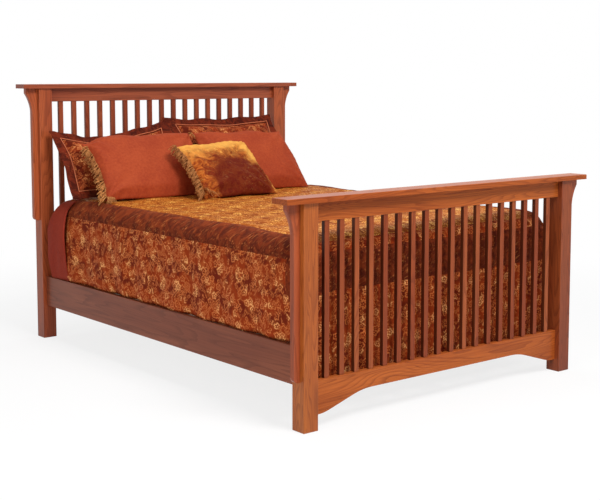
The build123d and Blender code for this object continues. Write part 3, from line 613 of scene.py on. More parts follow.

# %% [markdown]
# ## The cloths of this bed
# The top panel is the lightest brocade, the side drops are redder with peach flowers, and
# the shams are darkest. Only the gold pillow's velvet carries painted shade and highlights.

# %% The bed's own cloths
top_brocade = brocade_cloth("top_brocade", linear(158, 80, 24), linear(130, 56, 14),
                            linear(206, 130, 46), linear(246, 186, 88), open_ground=0.40)
side_brocade = brocade_cloth("side_brocade", linear(146, 52, 16), linear(108, 32, 12),
                             linear(198, 106, 52), linear(240, 170, 104), open_ground=0.48, grow=1.12)
sham_brocade = brocade_cloth("sham_brocade", linear(128, 42, 16), linear(94, 28, 12),
                             linear(176, 88, 44), linear(220, 142, 82), open_ground=0.46, grow=1.25)
band_velvet = velvet_cloth("band_velvet", linear(84, 26, 10), linear(128, 50, 20),
                           linear(200, 116, 58), size=20.0, shine=0.7)
flange_velvet = velvet_cloth("flange_velvet", linear(66, 18, 8), linear(112, 38, 18),
                             linear(186, 92, 48), size=20.0, shine=0.35)
# The gold velvet carries painted shade round a hollow and painted highlights along its top and right edges.
gold_velvet = velvet_cloth("gold_velvet", linear(120, 42, 14), linear(190, 100, 36),
                           linear(246, 182, 86), size=24.0, shine=0.9, painted_hollow=(0.036, -0.128, 0.0))
rust_cloth = plain_cloth("rust_cloth", linear(170, 72, 38), linear(150, 56, 30))
sheet_cloth = plain_cloth("sheet_cloth", linear(148, 50, 32), linear(130, 40, 26))
ticking = plain_cloth("ticking", linear(228, 220, 204), linear(208, 198, 180))
piping_cloth = plain_cloth("piping_cloth", linear(206, 118, 80), linear(182, 96, 62), threads=3000.0)
gold_cord = plain_cloth("gold_cord", linear(208, 142, 82), linear(152, 92, 50), threads=5200.0)
cloth_kinds = (top_brocade, side_brocade, sham_brocade, band_velvet, flange_velvet, gold_velvet,
               rust_cloth, sheet_cloth, ticking, piping_cloth, gold_cord)
print("cloth materials:", len(cloth_kinds))

# %% [markdown]
# ## Small tools for soft shapes
# Cloth is never flat. A sum of a few waves in fixed directions gives soft, repeatable
# unevenness, and a smooth step fades it in and out.

# %% Waves and steps
def ripple(points, waves, height, seed):
    """A smooth uneven value at each point, from waves of the given lengths."""
    dice = np.random.default_rng(seed)
    total = np.zeros(len(points))
    for length in waves:
        for _ in range(3):
            way = dice.normal(size=points.shape[1])
            way /= np.linalg.norm(way)
            total += np.sin(points @ way * 2 * math.pi / length + dice.uniform(0, 2 * math.pi))
    return total * height / (3 * len(waves)) ** 0.5


def smooth(value, low, high):
    """0 below low, 1 above high, smooth in between, on arrays."""
    t = np.clip((value - low) / (high - low), 0, 1)
    return t * t * (3 - 2 * t)


print("waves and steps ready")

# %% [markdown]
# These build a mesh, read and move its points, and add the modifiers that every cloth uses.

# %% Mesh tools
def new_piece(name, points, faces, materials, face_material=None, corner_map=None):
    """A smooth mesh object in the scene."""
    mesh = bpy.data.meshes.new(name)
    mesh.from_pydata([tuple(p) for p in points], [], [tuple(int(i) for i in f) for f in faces])
    for material in materials:
        mesh.materials.append(material)
    if face_material is not None:
        mesh.polygons.foreach_set("material_index", np.array(face_material, np.int32))
    mesh.polygons.foreach_set("use_smooth", np.ones(len(mesh.polygons), bool))
    if corner_map is not None:
        layer = mesh.uv_layers.new(name=CLOTH_MAP)
        layer.data.foreach_set("uv", np.array(corner_map, np.float32).ravel())
    piece = bpy.data.objects.new(name, mesh)
    bpy.context.scene.collection.objects.link(piece)
    return piece


def point_normals(piece):
    """The direction that the surface faces at each point."""
    normals = np.zeros(len(piece.data.vertices) * 3, np.float32)
    piece.data.vertices.foreach_get("normal", normals)
    return normals.reshape(-1, 3).astype(float)


def read_points(piece):
    """The piece's points as an array."""
    points = np.zeros(len(piece.data.vertices) * 3, np.float32)
    piece.data.vertices.foreach_get("co", points)
    return points.reshape(-1, 3).astype(float)


def write_points(piece, points):
    """Move the piece's points."""
    piece.data.vertices.foreach_set("co", np.array(points, np.float32).ravel())
    piece.data.update()


def thicken(piece, label, thickness, offset):
    """Give a sheet of cloth its thickness."""
    thick = piece.modifiers.new(label, "SOLIDIFY")
    thick.thickness = thickness
    thick.offset = offset


def refine(piece):
    """Round a mesh by one step of subdivision."""
    finer = piece.modifiers.new("finer", "SUBSURF")
    finer.levels = 1
    finer.render_levels = 1


print("mesh tools ready")

# %% [markdown]
# ## A drape in one sheet
# The comforter and the sheet are both cloth over a block. They start as the top, sides and
# ends of a box in small squares. Each point is then pulled back to a round shoulder, which
# is how thick bedding turns over the edge of a mattress. The unrolled place of each
# corner is kept as the cloth's map, so the pattern runs on over the shoulder unbroken.

# %% Drape builder
CELL = 12.0 * MM
FAR_AWAY = 9.0
NEARLY_NOTHING = 1e-6


def lines(low, high):
    """Evenly spaced places from low to high, about a cell apart."""
    return np.linspace(low, high, max(2, int(round((high - low) / CELL)) + 1))


def drape(low, high, radius, sides):
    """The outside of a box in small squares, round-shouldered. sides names the faces that hang."""
    xs, ys, zs = (lines(low[k], high[k]) for k in range(3))
    index = {}
    points, faces, maps = [], [], []

    def corner(p):
        """The number of a corner point, shared by the squares that meet there."""
        key = tuple(round(v * 20000) for v in p)
        if key not in index:
            index[key] = len(points)
            points.append(p)
        return index[key]

    def patch(first, second, place, unrolled):
        """One face of the box, in squares."""
        for a in range(len(first) - 1):
            for b in range(len(second) - 1):
                around = [(first[a], second[b]), (first[a + 1], second[b]),
                          (first[a + 1], second[b + 1]), (first[a], second[b + 1])]
                faces.append([corner(place(*c)) for c in around])
                maps.extend(unrolled(*c) for c in around)

    top = high[2]
    patch(xs, ys, lambda x, y: (x, y, top), lambda x, y: (x, y))
    if "left" in sides:
        patch(zs, ys, lambda z, y: (low[0], y, z), lambda z, y: (low[0] - (top - z), y))
    if "right" in sides:
        patch(ys, zs, lambda y, z: (high[0], y, z), lambda y, z: (high[0] + (top - z), y))
    if "foot" in sides:
        patch(xs, zs, lambda x, z: (x, low[1], z), lambda x, z: (x, low[1] - (top - z)))
    if "head" in sides:
        patch(zs, xs, lambda z, x: (x, high[1], z), lambda z, x: (x, high[1] + (top - z)))
    points = np.array(points)
    foot_line = low[1] + radius if "foot" in sides else -FAR_AWAY
    head_line = high[1] - radius if "head" in sides else FAR_AWAY
    inner_low = np.array([low[0] + radius, foot_line, -FAR_AWAY])
    inner_high = np.array([high[0] - radius, head_line, top - radius])
    core = np.clip(points, inner_low, inner_high)
    out = points - core
    reach = np.linalg.norm(out, axis=1, keepdims=True)
    rounded = core + out * (radius / np.maximum(reach, NEARLY_NOTHING))
    return np.where(reach > NEARLY_NOTHING, rounded, points), faces, maps


print("drape builder ready, cell", CELL, "m")

# %% [markdown]
# ## The comforter
# It is quilted, so it is thick and soft. A velvet band runs round it at the shoulder, and
# the drops below it hang in shallow folds that deepen towards the hem. Each face of the
# mesh takes its cloth from where it lies, and a narrow groove marks each seam.

# %% Comforter shape
comforter_low, comforter_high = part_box("comforter")
rail_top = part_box("side_rail_left")[1].z
mattress_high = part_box("mattress")[1]
SHOULDER = 0.100
TOP_PANEL_HALF = 0.678
SIDE_BAND_LOW = 0.664
FOOT_PANEL_LOW = 0.728
FOOT_BAND_HIGH = 0.690
FOOT_BAND_LOW = 0.528
HEM_SPACE = 0.001
CROWN = 0.007
FOLD_SPACE = 0.003
comforter_box_low = (comforter_low.x + FOLD_SPACE, comforter_low.y + FOLD_SPACE, rail_top + HEM_SPACE)
comforter_box_high = (comforter_high.x - FOLD_SPACE, comforter_high.y, comforter_high.z)
points, faces, maps = drape(comforter_box_low, comforter_box_high, SHOULDER, ("left", "right", "foot"))
centres = points[np.array(faces)].mean(axis=1)
on_foot = centres[:, 1] < comforter_box_low[1] + SHOULDER * 0.6
in_panel = np.abs(centres[:, 0]) < TOP_PANEL_HALF
comforter_cloths = [top_brocade, band_velvet, side_brocade]
TOP, BAND, SIDE = 0, 1, 2
cloths = np.where(in_panel, TOP, BAND)
cloths = np.where(centres[:, 2] < SIDE_BAND_LOW, SIDE, cloths)
foot_panel = np.where(centres[:, 2] > FOOT_PANEL_LOW, TOP, SIDE)
foot_upper = np.where(in_panel, foot_panel, BAND)
foot_lower = np.where(centres[:, 2] > FOOT_BAND_LOW, BAND, SIDE)
foot_cloths = np.where(centres[:, 2] > FOOT_BAND_HIGH, foot_upper, foot_lower)
cloths = np.where(on_foot, foot_cloths, cloths)
comforter = new_piece("comforter_cloth", points, faces, comforter_cloths, cloths, maps)
print("comforter squares:", len(faces))

# %% [markdown]
# ## How the comforter hangs
# The folds are written as waves along the drop: the height of a wave grows from nothing at
# the shoulder to its full depth at the hem, the way a hanging cloth really opens. At the
# foot the cloth is gathered into bent valleys, and each valley has its own place and depth.

# %% Fold helpers
FOOT_FOLDS = ((-0.66, 0.012), (-0.565, 0.020), (-0.44, 0.022), (-0.31, 0.013), (-0.17, 0.018),
              (-0.02, 0.011), (0.12, 0.019), (0.27, 0.012), (0.40, 0.020), (0.54, 0.013),
              (0.66, 0.018))
FOLD_HALF_WIDTH = 0.020
DEEPEST_FOOT_FOLD = 0.012
FOLD_SPACING = 0.235


def groove(distance, width, depth):
    """A narrow valley along a line."""
    return -depth * np.exp(-(distance / width) ** 2)


def foot_folds(points):
    """How far the foot of the comforter draws in: bent valleys that deepen on the way down."""
    x, z = points[:, 0], points[:, 2]
    slow_bend = 0.016 * np.sin(z * 2 * math.pi / 0.34 + x * 7)
    quick_bend = 0.008 * np.sin(z * 2 * math.pi / 0.17 + x * 19)
    bend = slow_bend + quick_bend
    depth = smooth(0.70 - z, 0.0, 0.25)
    valleys = sum(groove(x + bend - place, FOLD_HALF_WIDTH, deep) for place, deep in FOOT_FOLDS)
    return np.maximum(valleys * depth, -DEEPEST_FOOT_FOLD)


def square_corners(points, past_x, past_y, share):
    """Push a drape's round upright corners out toward a square. Returns the push along y."""
    turn = np.arctan2(np.maximum(past_y, 0), np.maximum(past_x, NEARLY_NOTHING))
    fuller = (np.cos(turn) ** 4 + np.sin(turn) ** 4) ** -0.25 - 1
    fuller = np.where((past_x > 0) & (past_y > 0), fuller, 0) * share
    points[:, 0] += np.sign(points[:, 0]) * np.maximum(past_x, 0) * fuller
    return np.maximum(past_y, 0) * fuller


def hang(points, along, fall):
    """How far the cloth stands out: folds that deepen with the fall, and soft lumps."""
    phase = ripple(np.column_stack([along, points[:, 2] * 0.4]), (0.9, 0.55), 1.2, 3)
    folds = np.sin(along * 2 * math.pi / FOLD_SPACING + phase) * (0.0010 + 0.0065 * fall)
    lumps = ripple(points, (0.46, 0.30, 0.19), 0.0030, 11)
    crumple = ripple(points, (0.075, 0.05), 0.0007, 12)
    return folds * smooth(fall, 0.0, 0.12) + lumps + crumple


print("folds at the foot:", len(FOOT_FOLDS))

# %% [markdown]
# First the corners are squared and the drop is measured: how far each point has fallen from
# the shoulder, and how far along the drop it lies.

# %% Comforter corners
SQUARE_FROM, SQUARE_TO = 0.60, 0.72
points = read_points(comforter)
past_x = np.abs(points[:, 0]) - (comforter_box_high[0] - SHOULDER)
past_y = comforter_box_low[1] + SHOULDER - points[:, 1]
squareness = 1 - smooth(points[:, 2], SQUARE_FROM, SQUARE_TO)
points[:, 1] -= square_corners(points, past_x, past_y, squareness)
write_points(comforter, points)
normals = point_normals(comforter)
top_z = comforter_box_high[2]
fall = np.clip((top_z - points[:, 2] - SHOULDER * 0.5) / (top_z - comforter_box_low[2]), 0, 1)
on_side = np.abs(points[:, 0]) > comforter_box_high[0] - 0.02
on_top = 1 - smooth(fall, 0.0, 0.1)
is_foot = points[:, 1] < comforter_box_low[1] + 0.03
FOLD_SHIFT = 0.4
along = np.where(on_side, points[:, 1], points[:, 0] + FOLD_SHIFT)
print("points on the sides:", int(on_side.sum()), "at the foot:", int(is_foot.sum()))

# %% [markdown]
# Then every point moves out along its normal by the sum of the folds, the crown of the top
# and the seam grooves. The seams of the top panel wander a little, as sewn ones do.

# %% Comforter folds
push = hang(points, along, fall)
seam_shift = ripple(points[:, 1:2], (0.83, 0.41), 0.007, 31) + 0.030 * smooth(points[:, 1], 0.15, 0.75)
band_gap = np.abs(np.abs(points[:, 0]) - TOP_PANEL_HALF)
points[:, 0] += np.sign(points[:, 0]) * seam_shift * np.exp(-(band_gap / 0.045) ** 2) * on_top
crown_rise = (1 - (points[:, 0] / 0.75) ** 2) * smooth(points[:, 1], -0.95, -0.55) * CROWN
push += np.clip(crown_rise, 0, CROWN) * on_top
push += groove(band_gap, 0.010, 0.006) * on_top
push += groove(np.abs(points[:, 2] - SIDE_BAND_LOW), 0.011, 0.005) * on_side
push += groove(np.abs(points[:, 2] - FOOT_BAND_HIGH), 0.014, 0.010) * is_foot
push += groove(np.abs(points[:, 2] - FOOT_BAND_LOW), 0.010, 0.005) * is_foot
push += foot_folds(points) * is_foot
hem_tuck = -0.010 * (1 - smooth(points[:, 2], comforter_box_low[2], comforter_box_low[2] + 0.022))
points += normals * (push + hem_tuck * (fall > 0.3) * ~is_foot)[:, None]
points[:, 2] = np.maximum(points[:, 2], comforter_box_low[2])
write_points(comforter, points)
thicken(comforter, "cloth_thickness", 0.009, -1)
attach(comforter, ROOT_BODY)
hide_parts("comforter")
print("comforter folds up to", round(float(np.abs(push).max()) * 1000, 1), "mm")

# %% [markdown]
# ## The foot drop
# At the foot the cloth reaches lower than at the sides, down behind the bottom rail, so a
# second piece carries it on. It shares the comforter's folds and tucks in behind its hem.

# %% Foot drop
DROP_HALF = mattress_high.x - 0.006
DROP_HEM = 0.174
DROP_OVERLAP = 0.050
DROP_TUCK = 0.014
drop_xs = lines(-DROP_HALF, DROP_HALF)
drop_zs = lines(DROP_HEM, comforter_box_low[2] + DROP_OVERLAP)
drop_y = comforter_box_low[1]
drop_points = [(x, drop_y, z) for x in drop_xs for z in drop_zs]
rows = len(drop_zs)
drop_faces = [(a * rows + b, (a + 1) * rows + b, (a + 1) * rows + b + 1, a * rows + b + 1)
              for a in range(len(drop_xs) - 1) for b in range(rows - 1)]
drop_maps = [(drop_points[i][0], drop_y - (top_z - drop_points[i][2])) for f in drop_faces for i in f]
foot_drop = new_piece("comforter_foot_drop", drop_points, drop_faces, [side_brocade], None, drop_maps)
drop_array = read_points(foot_drop)
drop_push = hang(drop_array, drop_array[:, 0] + FOLD_SHIFT, np.ones(len(drop_array)))
drop_push += foot_folds(drop_array)
above_hem = drop_array[:, 2] - comforter_box_low[2]
drop_push -= DROP_TUCK * smooth(above_hem, 0.004, 0.024)
drop_array[:, 1] -= drop_push
write_points(foot_drop, drop_array)
thicken(foot_drop, "cloth_thickness", 0.005, 0)
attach(foot_drop, ROOT_BODY)
print("foot drop squares:", len(drop_faces))

# %% [markdown]
# ## The sheet
# Only its end shows, at the headboard, where the comforter stops short. It lies closer to
# the mattress than the comforter does, with a few soft wrinkles.

# %% Sheet
sheet_low, sheet_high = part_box("sheet")
SHEET_SHOULDER = 0.085
SHEET_BULGE = 0.024
SHEET_UNDERLAP = 0.06
sheet_points, sheet_faces, sheet_maps = drape(
    (sheet_low.x, sheet_low.y - SHEET_UNDERLAP, rail_top + HEM_SPACE),
    (sheet_high.x, sheet_high.y, sheet_high.z), SHEET_SHOULDER, ("left", "right", "head"))
sheet = new_piece("bed_sheet", sheet_points, sheet_faces, [sheet_cloth], None, sheet_maps)
sheet_array = read_points(sheet)
corner_x = np.abs(sheet_array[:, 0]) - (sheet_high.x - SHEET_SHOULDER)
corner_y = sheet_array[:, 1] - (sheet_high.y - SHEET_SHOULDER)
squareness = 1 - smooth(sheet_array[:, 2], SQUARE_FROM, SQUARE_TO)
sheet_array[:, 1] += square_corners(sheet_array, corner_x, corner_y, squareness)
rise = np.clip((sheet_array[:, 2] - rail_top) / (sheet_high.z - rail_top), 0, 1)
bulge = SHEET_BULGE * np.sin(np.pi * rise) * smooth(corner_x, -0.02, 0.04)
sheet_array[:, 0] += np.sign(sheet_array[:, 0]) * bulge
toward_head = smooth(sheet_array[:, 1], 0.88, 1.05) ** 1.3
sheet_array[:, 2] -= 0.045 * toward_head * smooth(sheet_array[:, 2], 0.50, 0.74)
wrinkles = ripple(sheet_array, (0.26, 0.16, 0.09), 0.0026, 21)
sheet_array += point_normals(sheet) * wrinkles[:, None]
sheet_array[:, 2] = np.maximum(sheet_array[:, 2], rail_top + HEM_SPACE)
write_points(sheet, sheet_array)
thicken(sheet, "cloth_thickness", 0.004, -1)
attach(sheet, ROOT_BODY)
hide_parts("sheet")
print("sheet squares:", len(sheet_faces))

# %% [markdown]
# ## A cord
# Welts and piping are thin round cords that follow a seam. A ring of points is set round
# each step of the path, square to the way that the path runs there.

# %% Cord builder
def tube(name, path, radius, material, sides=8):
    """A round cord along a closed path, as a mesh."""
    path = np.array(path, float)
    ahead = np.roll(path, -1, axis=0) - np.roll(path, 1, axis=0)
    ahead /= np.linalg.norm(ahead, axis=1, keepdims=True)
    helper = np.tile(np.array([0.13, 0.21, 0.97]), (len(path), 1))
    side = np.cross(ahead, helper)
    side /= np.linalg.norm(side, axis=1, keepdims=True)
    up = np.cross(side, ahead)
    points = []
    for k in range(sides):
        turn = 2 * math.pi * k / sides
        points.append(path + (side * math.cos(turn) + up * math.sin(turn)) * radius)
    points = np.stack(points, axis=1).reshape(-1, 3)
    count = len(path)
    faces = [(i * sides + k, ((i + 1) % count) * sides + k,
              ((i + 1) % count) * sides + (k + 1) % sides, i * sides + (k + 1) % sides)
             for i in range(count) for k in range(sides)]
    return new_piece(name, points, faces, [material])


print("cord builder ready")

# %% [markdown]
# ## Mattress and box spring
# Both hide under the covers, but they show from below and from behind. Each is a soft
# block in ticking with a welt, the corded seam that runs round its top and bottom edge.

# %% Mattress and box spring
BLOCK_CORNER = 0.058
WELT_RADIUS = 0.003
CORNER_STEPS = 6


def soft_block(node, name, radius):
    """A ticking-covered block with a welt round its top and bottom."""
    corner = BLOCK_CORNER
    low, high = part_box(node)
    mesh = bpy.data.meshes.new(name)
    shape = bmesh.new()
    bmesh.ops.create_cube(shape, size=1.0)
    for vertex in shape.verts:
        vertex.co = Vector([low[k] if vertex.co[k] < 0 else high[k] for k in range(3)])
    uprights = [e for e in shape.edges if abs(e.verts[0].co.z - e.verts[1].co.z) > 0.01]
    bmesh.ops.bevel(shape, geom=uprights, offset=corner, segments=8, affect="EDGES")
    rims = [e for e in shape.edges if abs(e.verts[0].co.z - e.verts[1].co.z) < 1e-6
            and len(e.link_faces) == 2 and e.calc_face_angle() > 1.0]
    bmesh.ops.bevel(shape, geom=rims, offset=radius, segments=5, affect="EDGES")
    shape.to_mesh(mesh)
    shape.free()
    mesh.materials.append(ticking)
    mesh.polygons.foreach_set("use_smooth", np.ones(len(mesh.polygons), bool))
    block = bpy.data.objects.new(name, mesh)
    bpy.context.scene.collection.objects.link(block)
    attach(block, ROOT_BODY)
    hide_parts(node)
    for label, z in (("low", low.z + radius), ("high", high.z - radius)):
        path = []
        for sx, sy, start in ((1, 1, 0), (-1, 1, 1), (-1, -1, 2), (1, -1, 3)):
            middle = (sx * (high.x - corner), (high.y if sy > 0 else low.y) - sy * corner)
            for step in range(CORNER_STEPS + 1):
                turn = QUARTER * (start + step / CORNER_STEPS)
                path.append((middle[0] + corner * math.cos(turn), middle[1] + corner * math.sin(turn), z))
        cord = tube(f"{name}_welt_{label}", path, WELT_RADIUS, ticking)
        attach(cord, ROOT_BODY)


soft_block("mattress", "mattress_body", 0.055)
soft_block("box_spring", "box_spring_body", 0.026)
print("mattress and box spring made")

# %% [markdown]
# ## Pillows
# A pillow is two flat panels sewn round the edge and stuffed. That is also the best way to
# model it: two grids joined at the rim, then blown up as cloth. The seam hardly moves, the
# middle swells, and the corners and edges pucker by themselves. Before the simulation a
# plain crown formula gives the pads the same outline.

# %% Pillow builder
PILLOW_CELL = 10.0 * MM
START_FULLNESS = 0.72


def crown(u, v, fullness=0.62):
    """How thick a pillow is at a place, from 0 at its seam to 1 at its middle."""
    return ((1 - np.abs(u) ** 3) * (1 - np.abs(v) ** 3)) ** fullness


def pillow_mesh(name, width, height, thickness, pull, material):
    """Two panels joined round the rim, lying flat about their middle."""
    columns = int(round(width / PILLOW_CELL)) // 2 * 2
    rows = int(round(height / PILLOW_CELL)) // 2 * 2
    us = np.linspace(-1, 1, columns + 1)
    vs = np.linspace(-1, 1, rows + 1)
    points, faces, maps = [], [], []
    index = {}
    for side in (1, -1):
        for j, v in enumerate(vs):
            for i, u in enumerate(us):
                rim = i in (0, columns) or j in (0, rows)
                if rim and side < 0:
                    index[side, i, j] = index[1, i, j]
                    continue
                index[side, i, j] = len(points)
                x = (width / 2 - pull * (1 - v * v)) * u
                y = (height / 2 - pull * (1 - u * u)) * v
                depth = 0 if rim else float(crown(u, v)) * thickness / 2
                points.append((x, y, side * depth))
        for j in range(rows):
            for i in range(columns):
                around = [index[side, i, j], index[side, i + 1, j],
                          index[side, i + 1, j + 1], index[side, i, j + 1]]
                faces.append(around if side > 0 else around[::-1])
    for face in faces:
        maps.extend((points[k][0], points[k][1]) for k in face)
    return new_piece(name, points, faces, [material], None, maps)


print("pillow meshes ready")

# %% [markdown]
# The pads are blown up together in one run of the cloth simulation. How far a point may
# move is limited, so that a pad keeps its outline, and the result is kept as a plain mesh.

# %% Pillow inflation
MOST_SIDEWAYS = 9.0 * MM
MOST_SWELL = 26.0 * MM
SIM_STEPS = 20
CLOTH_MASS = 0.2


def blow_up(pieces, pressure):
    """Inflate the pieces as cloth, all in one run, and keep the result as plain meshes."""
    scene = bpy.context.scene
    for piece in pieces:
        cloth = piece.modifiers.new("cloth", "CLOTH")
        settings = cloth.settings
        settings.quality = 4
        settings.mass = CLOTH_MASS
        settings.tension_stiffness = 14
        settings.compression_stiffness = 10
        settings.shear_stiffness = 5
        settings.bending_stiffness = 0.12
        settings.use_pressure = True
        settings.uniform_pressure_force = pressure
        settings.effector_weights.gravity = 0
        cloth.point_cache.frame_start = 1
        cloth.point_cache.frame_end = SIM_STEPS
    for step in range(1, SIM_STEPS + 1):
        scene.frame_set(step)
    graph = bpy.context.evaluated_depsgraph_get()
    blown = [np.array([v.co for v in piece.evaluated_get(graph).data.vertices], float) for piece in pieces]
    for piece, points in zip(pieces, blown):
        piece.modifiers.clear()
        start = read_points(piece)
        move = points - start
        sideways = np.linalg.norm(move[:, :2], axis=1, keepdims=True)
        move[:, :2] *= MOST_SIDEWAYS / np.maximum(sideways, MOST_SIDEWAYS)
        move[:, 2] = np.clip(move[:, 2], -MOST_SWELL, MOST_SWELL)
        write_points(piece, start + move)
    scene.frame_set(1)


print("pillow inflation ready, steps:", SIM_STEPS)

# %% [markdown]
# The five pillows differ only in size, cloth and place. Each stands in the middle of its
# own solid of the frame, turned back by its lean. The two shams have a flat flange round
# the pad, so their pads are smaller than their outlines.

# %% Pillow sizes
SHAM_LEAN = math.radians(38)
RUST_LEAN = math.radians(42)
GOLD_LEAN = math.radians(50)
PILLOWS = {
    "sham_left": (0.730, 0.500, 0.112, SHAM_LEAN),
    "sham_right": (0.730, 0.500, 0.112, SHAM_LEAN),
    "rust_pillow_left": (0.700, 0.425, 0.116, RUST_LEAN),
    "rust_pillow_right": (0.615, 0.425, 0.116, RUST_LEAN),
    "gold_pillow": (0.485, 0.410, 0.112, GOLD_LEAN),
}
FLANGE = 0.052
SIDE_PULL = 0.016
SHAM_PAD_PULL = 0.012
FIRM_PAD_PULL = 0.002
PRESSURE = 2.5
PAD_CLOTH = {"sham": sham_brocade, "rust": rust_cloth, "gold": gold_velvet}


def kind_of(node):
    """The first word of a pillow's name: sham, rust or gold."""
    return node.split("_")[0]


def lean_matrix(node):
    """The turn and place that stand a flat pillow in its node's box."""
    low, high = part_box(node)
    lean = PILLOWS[node][3]
    across = Vector((1, 0, 0))
    up = Vector((0, math.sin(lean), math.cos(lean)))
    facing = Vector((0, -math.cos(lean), math.sin(lean)))
    turn = Matrix((across, up, facing)).transposed()
    return Matrix.Translation((low + high) / 2) @ turn.to_4x4()


def side_pull(node):
    """How far a pad's sides draw in between its corners: little where it is stuffed hard."""
    return SHAM_PAD_PULL if kind_of(node) == "sham" else FIRM_PAD_PULL


def pad_size(node):
    """Width, height and thickness of a pillow without its flange."""
    width, height, thickness, _ = PILLOWS[node]
    inset = 2 * FLANGE if kind_of(node) == "sham" else 0
    return np.array([width - inset, height - inset, thickness])


print("pillow sizes:", {node: pad_size(node).round(3).tolist() for node in PILLOWS})

# %% [markdown]
# ## The pads
# Each pad starts less full than the real one and is blown up. Then it is scaled to its
# exact size, so the simulation gives only the way the cloth swells and puckers.

# %% Blow up the pads
pads = {}
for node in PILLOWS:
    width, height, thickness = pad_size(node)
    fullness = START_FULLNESS
    pads[node] = pillow_mesh(f"{node}_pad", width, height, thickness * fullness, side_pull(node),
                             PAD_CLOTH[kind_of(node)])
blow_up(list(pads.values()), PRESSURE)
for node, pad in pads.items():
    shape = read_points(pad)
    blown_size = shape.max(axis=0) - shape.min(axis=0)
    middle = (shape.max(axis=0) + shape.min(axis=0)) / 2
    write_points(pad, (shape - middle) * pad_size(node) / blown_size)
    print(node, "blown to", [round(float(v), 3) for v in blown_size])

# %% [markdown]
# ## Settling the pillows
# A pillow that has been leaned on is never even: its stuffing settles, and the left sham
# has slumped at its outer corner. One function bends any piece of a pillow, so the pad,
# flange and trims keep together. The tables say how much each pillow does of each.

# %% Settle the pillows
OVERLAP_REACH = 0.032
OVERLAP_DEPTH = 0.007
WAIST = {"sham_left": 0.0, "sham_right": 0.0, "rust_pillow_left": 0.024,
         "rust_pillow_right": 0.004, "gold_pillow": 0.018}
SLUMP = {"sham_left": 0.062, "sham_right": 0.0, "rust_pillow_left": 0.006,
         "rust_pillow_right": 0.010, "gold_pillow": 0.008}
SLUMP_SPAN = {"sham_left": (-1.0, 0.35), "sham_right": (-0.15, 1.0), "rust_pillow_left": (-0.15, 1.0),
              "rust_pillow_right": (-0.15, 1.0), "gold_pillow": (-0.15, 1.0)}
SHIFT = {"gold_pillow": -0.014}
ROUND_CORNER = {"rust_pillow_left": 0.036, "gold_pillow": 0.010}
DIP = {"sham_left": 0.036}
SLUMP_SIDE = {"sham_left": -1, "sham_right": 1, "rust_pillow_left": -1,
              "rust_pillow_right": 1, "gold_pillow": -1}


def settle(points, node):
    """Bend a pillow piece: slump a top corner, draw in the waist, dip the top, wave the outline."""
    width, height = PILLOWS[node][:2]
    u = points[:, 0] / (width / 2)
    v = points[:, 1] / (height / 2)
    moved = points.copy()
    corner = smooth(u * SLUMP_SIDE[node], *SLUMP_SPAN[node]) * smooth(v, -1.0, 1.0)
    moved[:, 1] -= SLUMP[node] * corner
    moved[:, 0] -= SLUMP[node] * SLUMP_SIDE[node] * 0.22 * corner
    waves = ripple(points[:, :2], (0.5, 0.33), 0.004, len(node))
    moved[:, 2] += waves * np.clip(np.abs(u) + np.abs(v), 0, 1)
    moved[:, 1] += ripple(points[:, :1], (0.42, 0.27), 0.004, len(node) + 5) * smooth(v, 0.3, 1.0)
    moved[:, 0] += WAIST[node] * (1 - np.clip(v, -1, 1) ** 2) * smooth(-u, 0.45, 1.0)
    moved[:, 0] += SHIFT.get(node, 0)
    top_left = smooth(-u, 0.60, 1.0) * smooth(v, 0.45, 1.0)
    moved[:, 0] += ROUND_CORNER.get(node, 0) * 0.3 * top_left
    moved[:, 1] -= ROUND_CORNER.get(node, 0) * top_left
    dip_span = smooth(u, -0.95, -0.35) * (1 - smooth(u, 0.7, 1.1))
    moved[:, 1] -= DIP.get(node, 0) * dip_span * smooth(v, -1.0, 1.0)
    inner_side = {"sham_left": 1, "sham_right": -1}.get(node, 0)
    overlap = smooth(u * inner_side, 0.75, 1.0)
    moved[:, 0] += inner_side * OVERLAP_REACH * overlap
    moved[:, 2] += inner_side * OVERLAP_DEPTH * overlap
    return moved


print("pillows that slump:", sum(value > 0 for value in SLUMP.values()))

# %% [markdown]
# ## Creases
# Creases run in from the corners of a pad, where the cloth is pulled, and short puckers sit
# along the seams. Crushed velvet is the softest, so the gold pillow creases the deepest.

# %% Crease the pads
CREASE_REACH = 0.16
CREASE_DEPTH = {"sham_left": 0.0030, "sham_right": 0.0030, "rust_pillow_left": 0.0042,
                "rust_pillow_right": 0.0034, "gold_pillow": 0.0080}
SOFT_LUMP, GOLD_LUMP = 0.0026, 0.005


def creases(points, node, depth):
    """Folds that run in from the corners and along the seams, on both faces of a pad."""
    width, height, _ = pad_size(node)
    normal_side = np.sign(points[:, 2])
    u = points[:, 0] / (width / 2)
    v = points[:, 1] / (height / 2)
    fullness = crown(np.clip(u, -1, 1), np.clip(v, -1, 1))
    total = np.zeros(len(points))
    dice = np.random.default_rng(len(node) * 7 + 1)
    for cx in (-1, 1):
        for cy in (-1, 1):
            dx = points[:, 0] - cx * width / 2
            dy = points[:, 1] - cy * height / 2
            reach = np.hypot(dx, dy)
            angle = np.arctan2(dy, dx)
            waves = np.sin(angle * dice.uniform(13, 19) + dice.uniform(0, 6) + reach * 9)
            total += waves * np.exp(-((reach - 0.07) / CREASE_REACH) ** 2) * depth
    seam_u = np.sin(points[:, 1] * 2 * math.pi / 0.043 + 3 * np.sin(points[:, 1] * 11))
    seam_u *= smooth(np.abs(u), 0.62, 0.93)
    seam_v = np.sin(points[:, 0] * 2 * math.pi / 0.049 + 3 * np.sin(points[:, 0] * 9))
    seam_v *= smooth(np.abs(v), 0.55, 0.92)
    total += (seam_u + seam_v) * depth * 0.45
    moved = points.copy()
    moved[:, 2] += normal_side * total * np.clip(fullness * 2.2, 0, 1)
    return moved


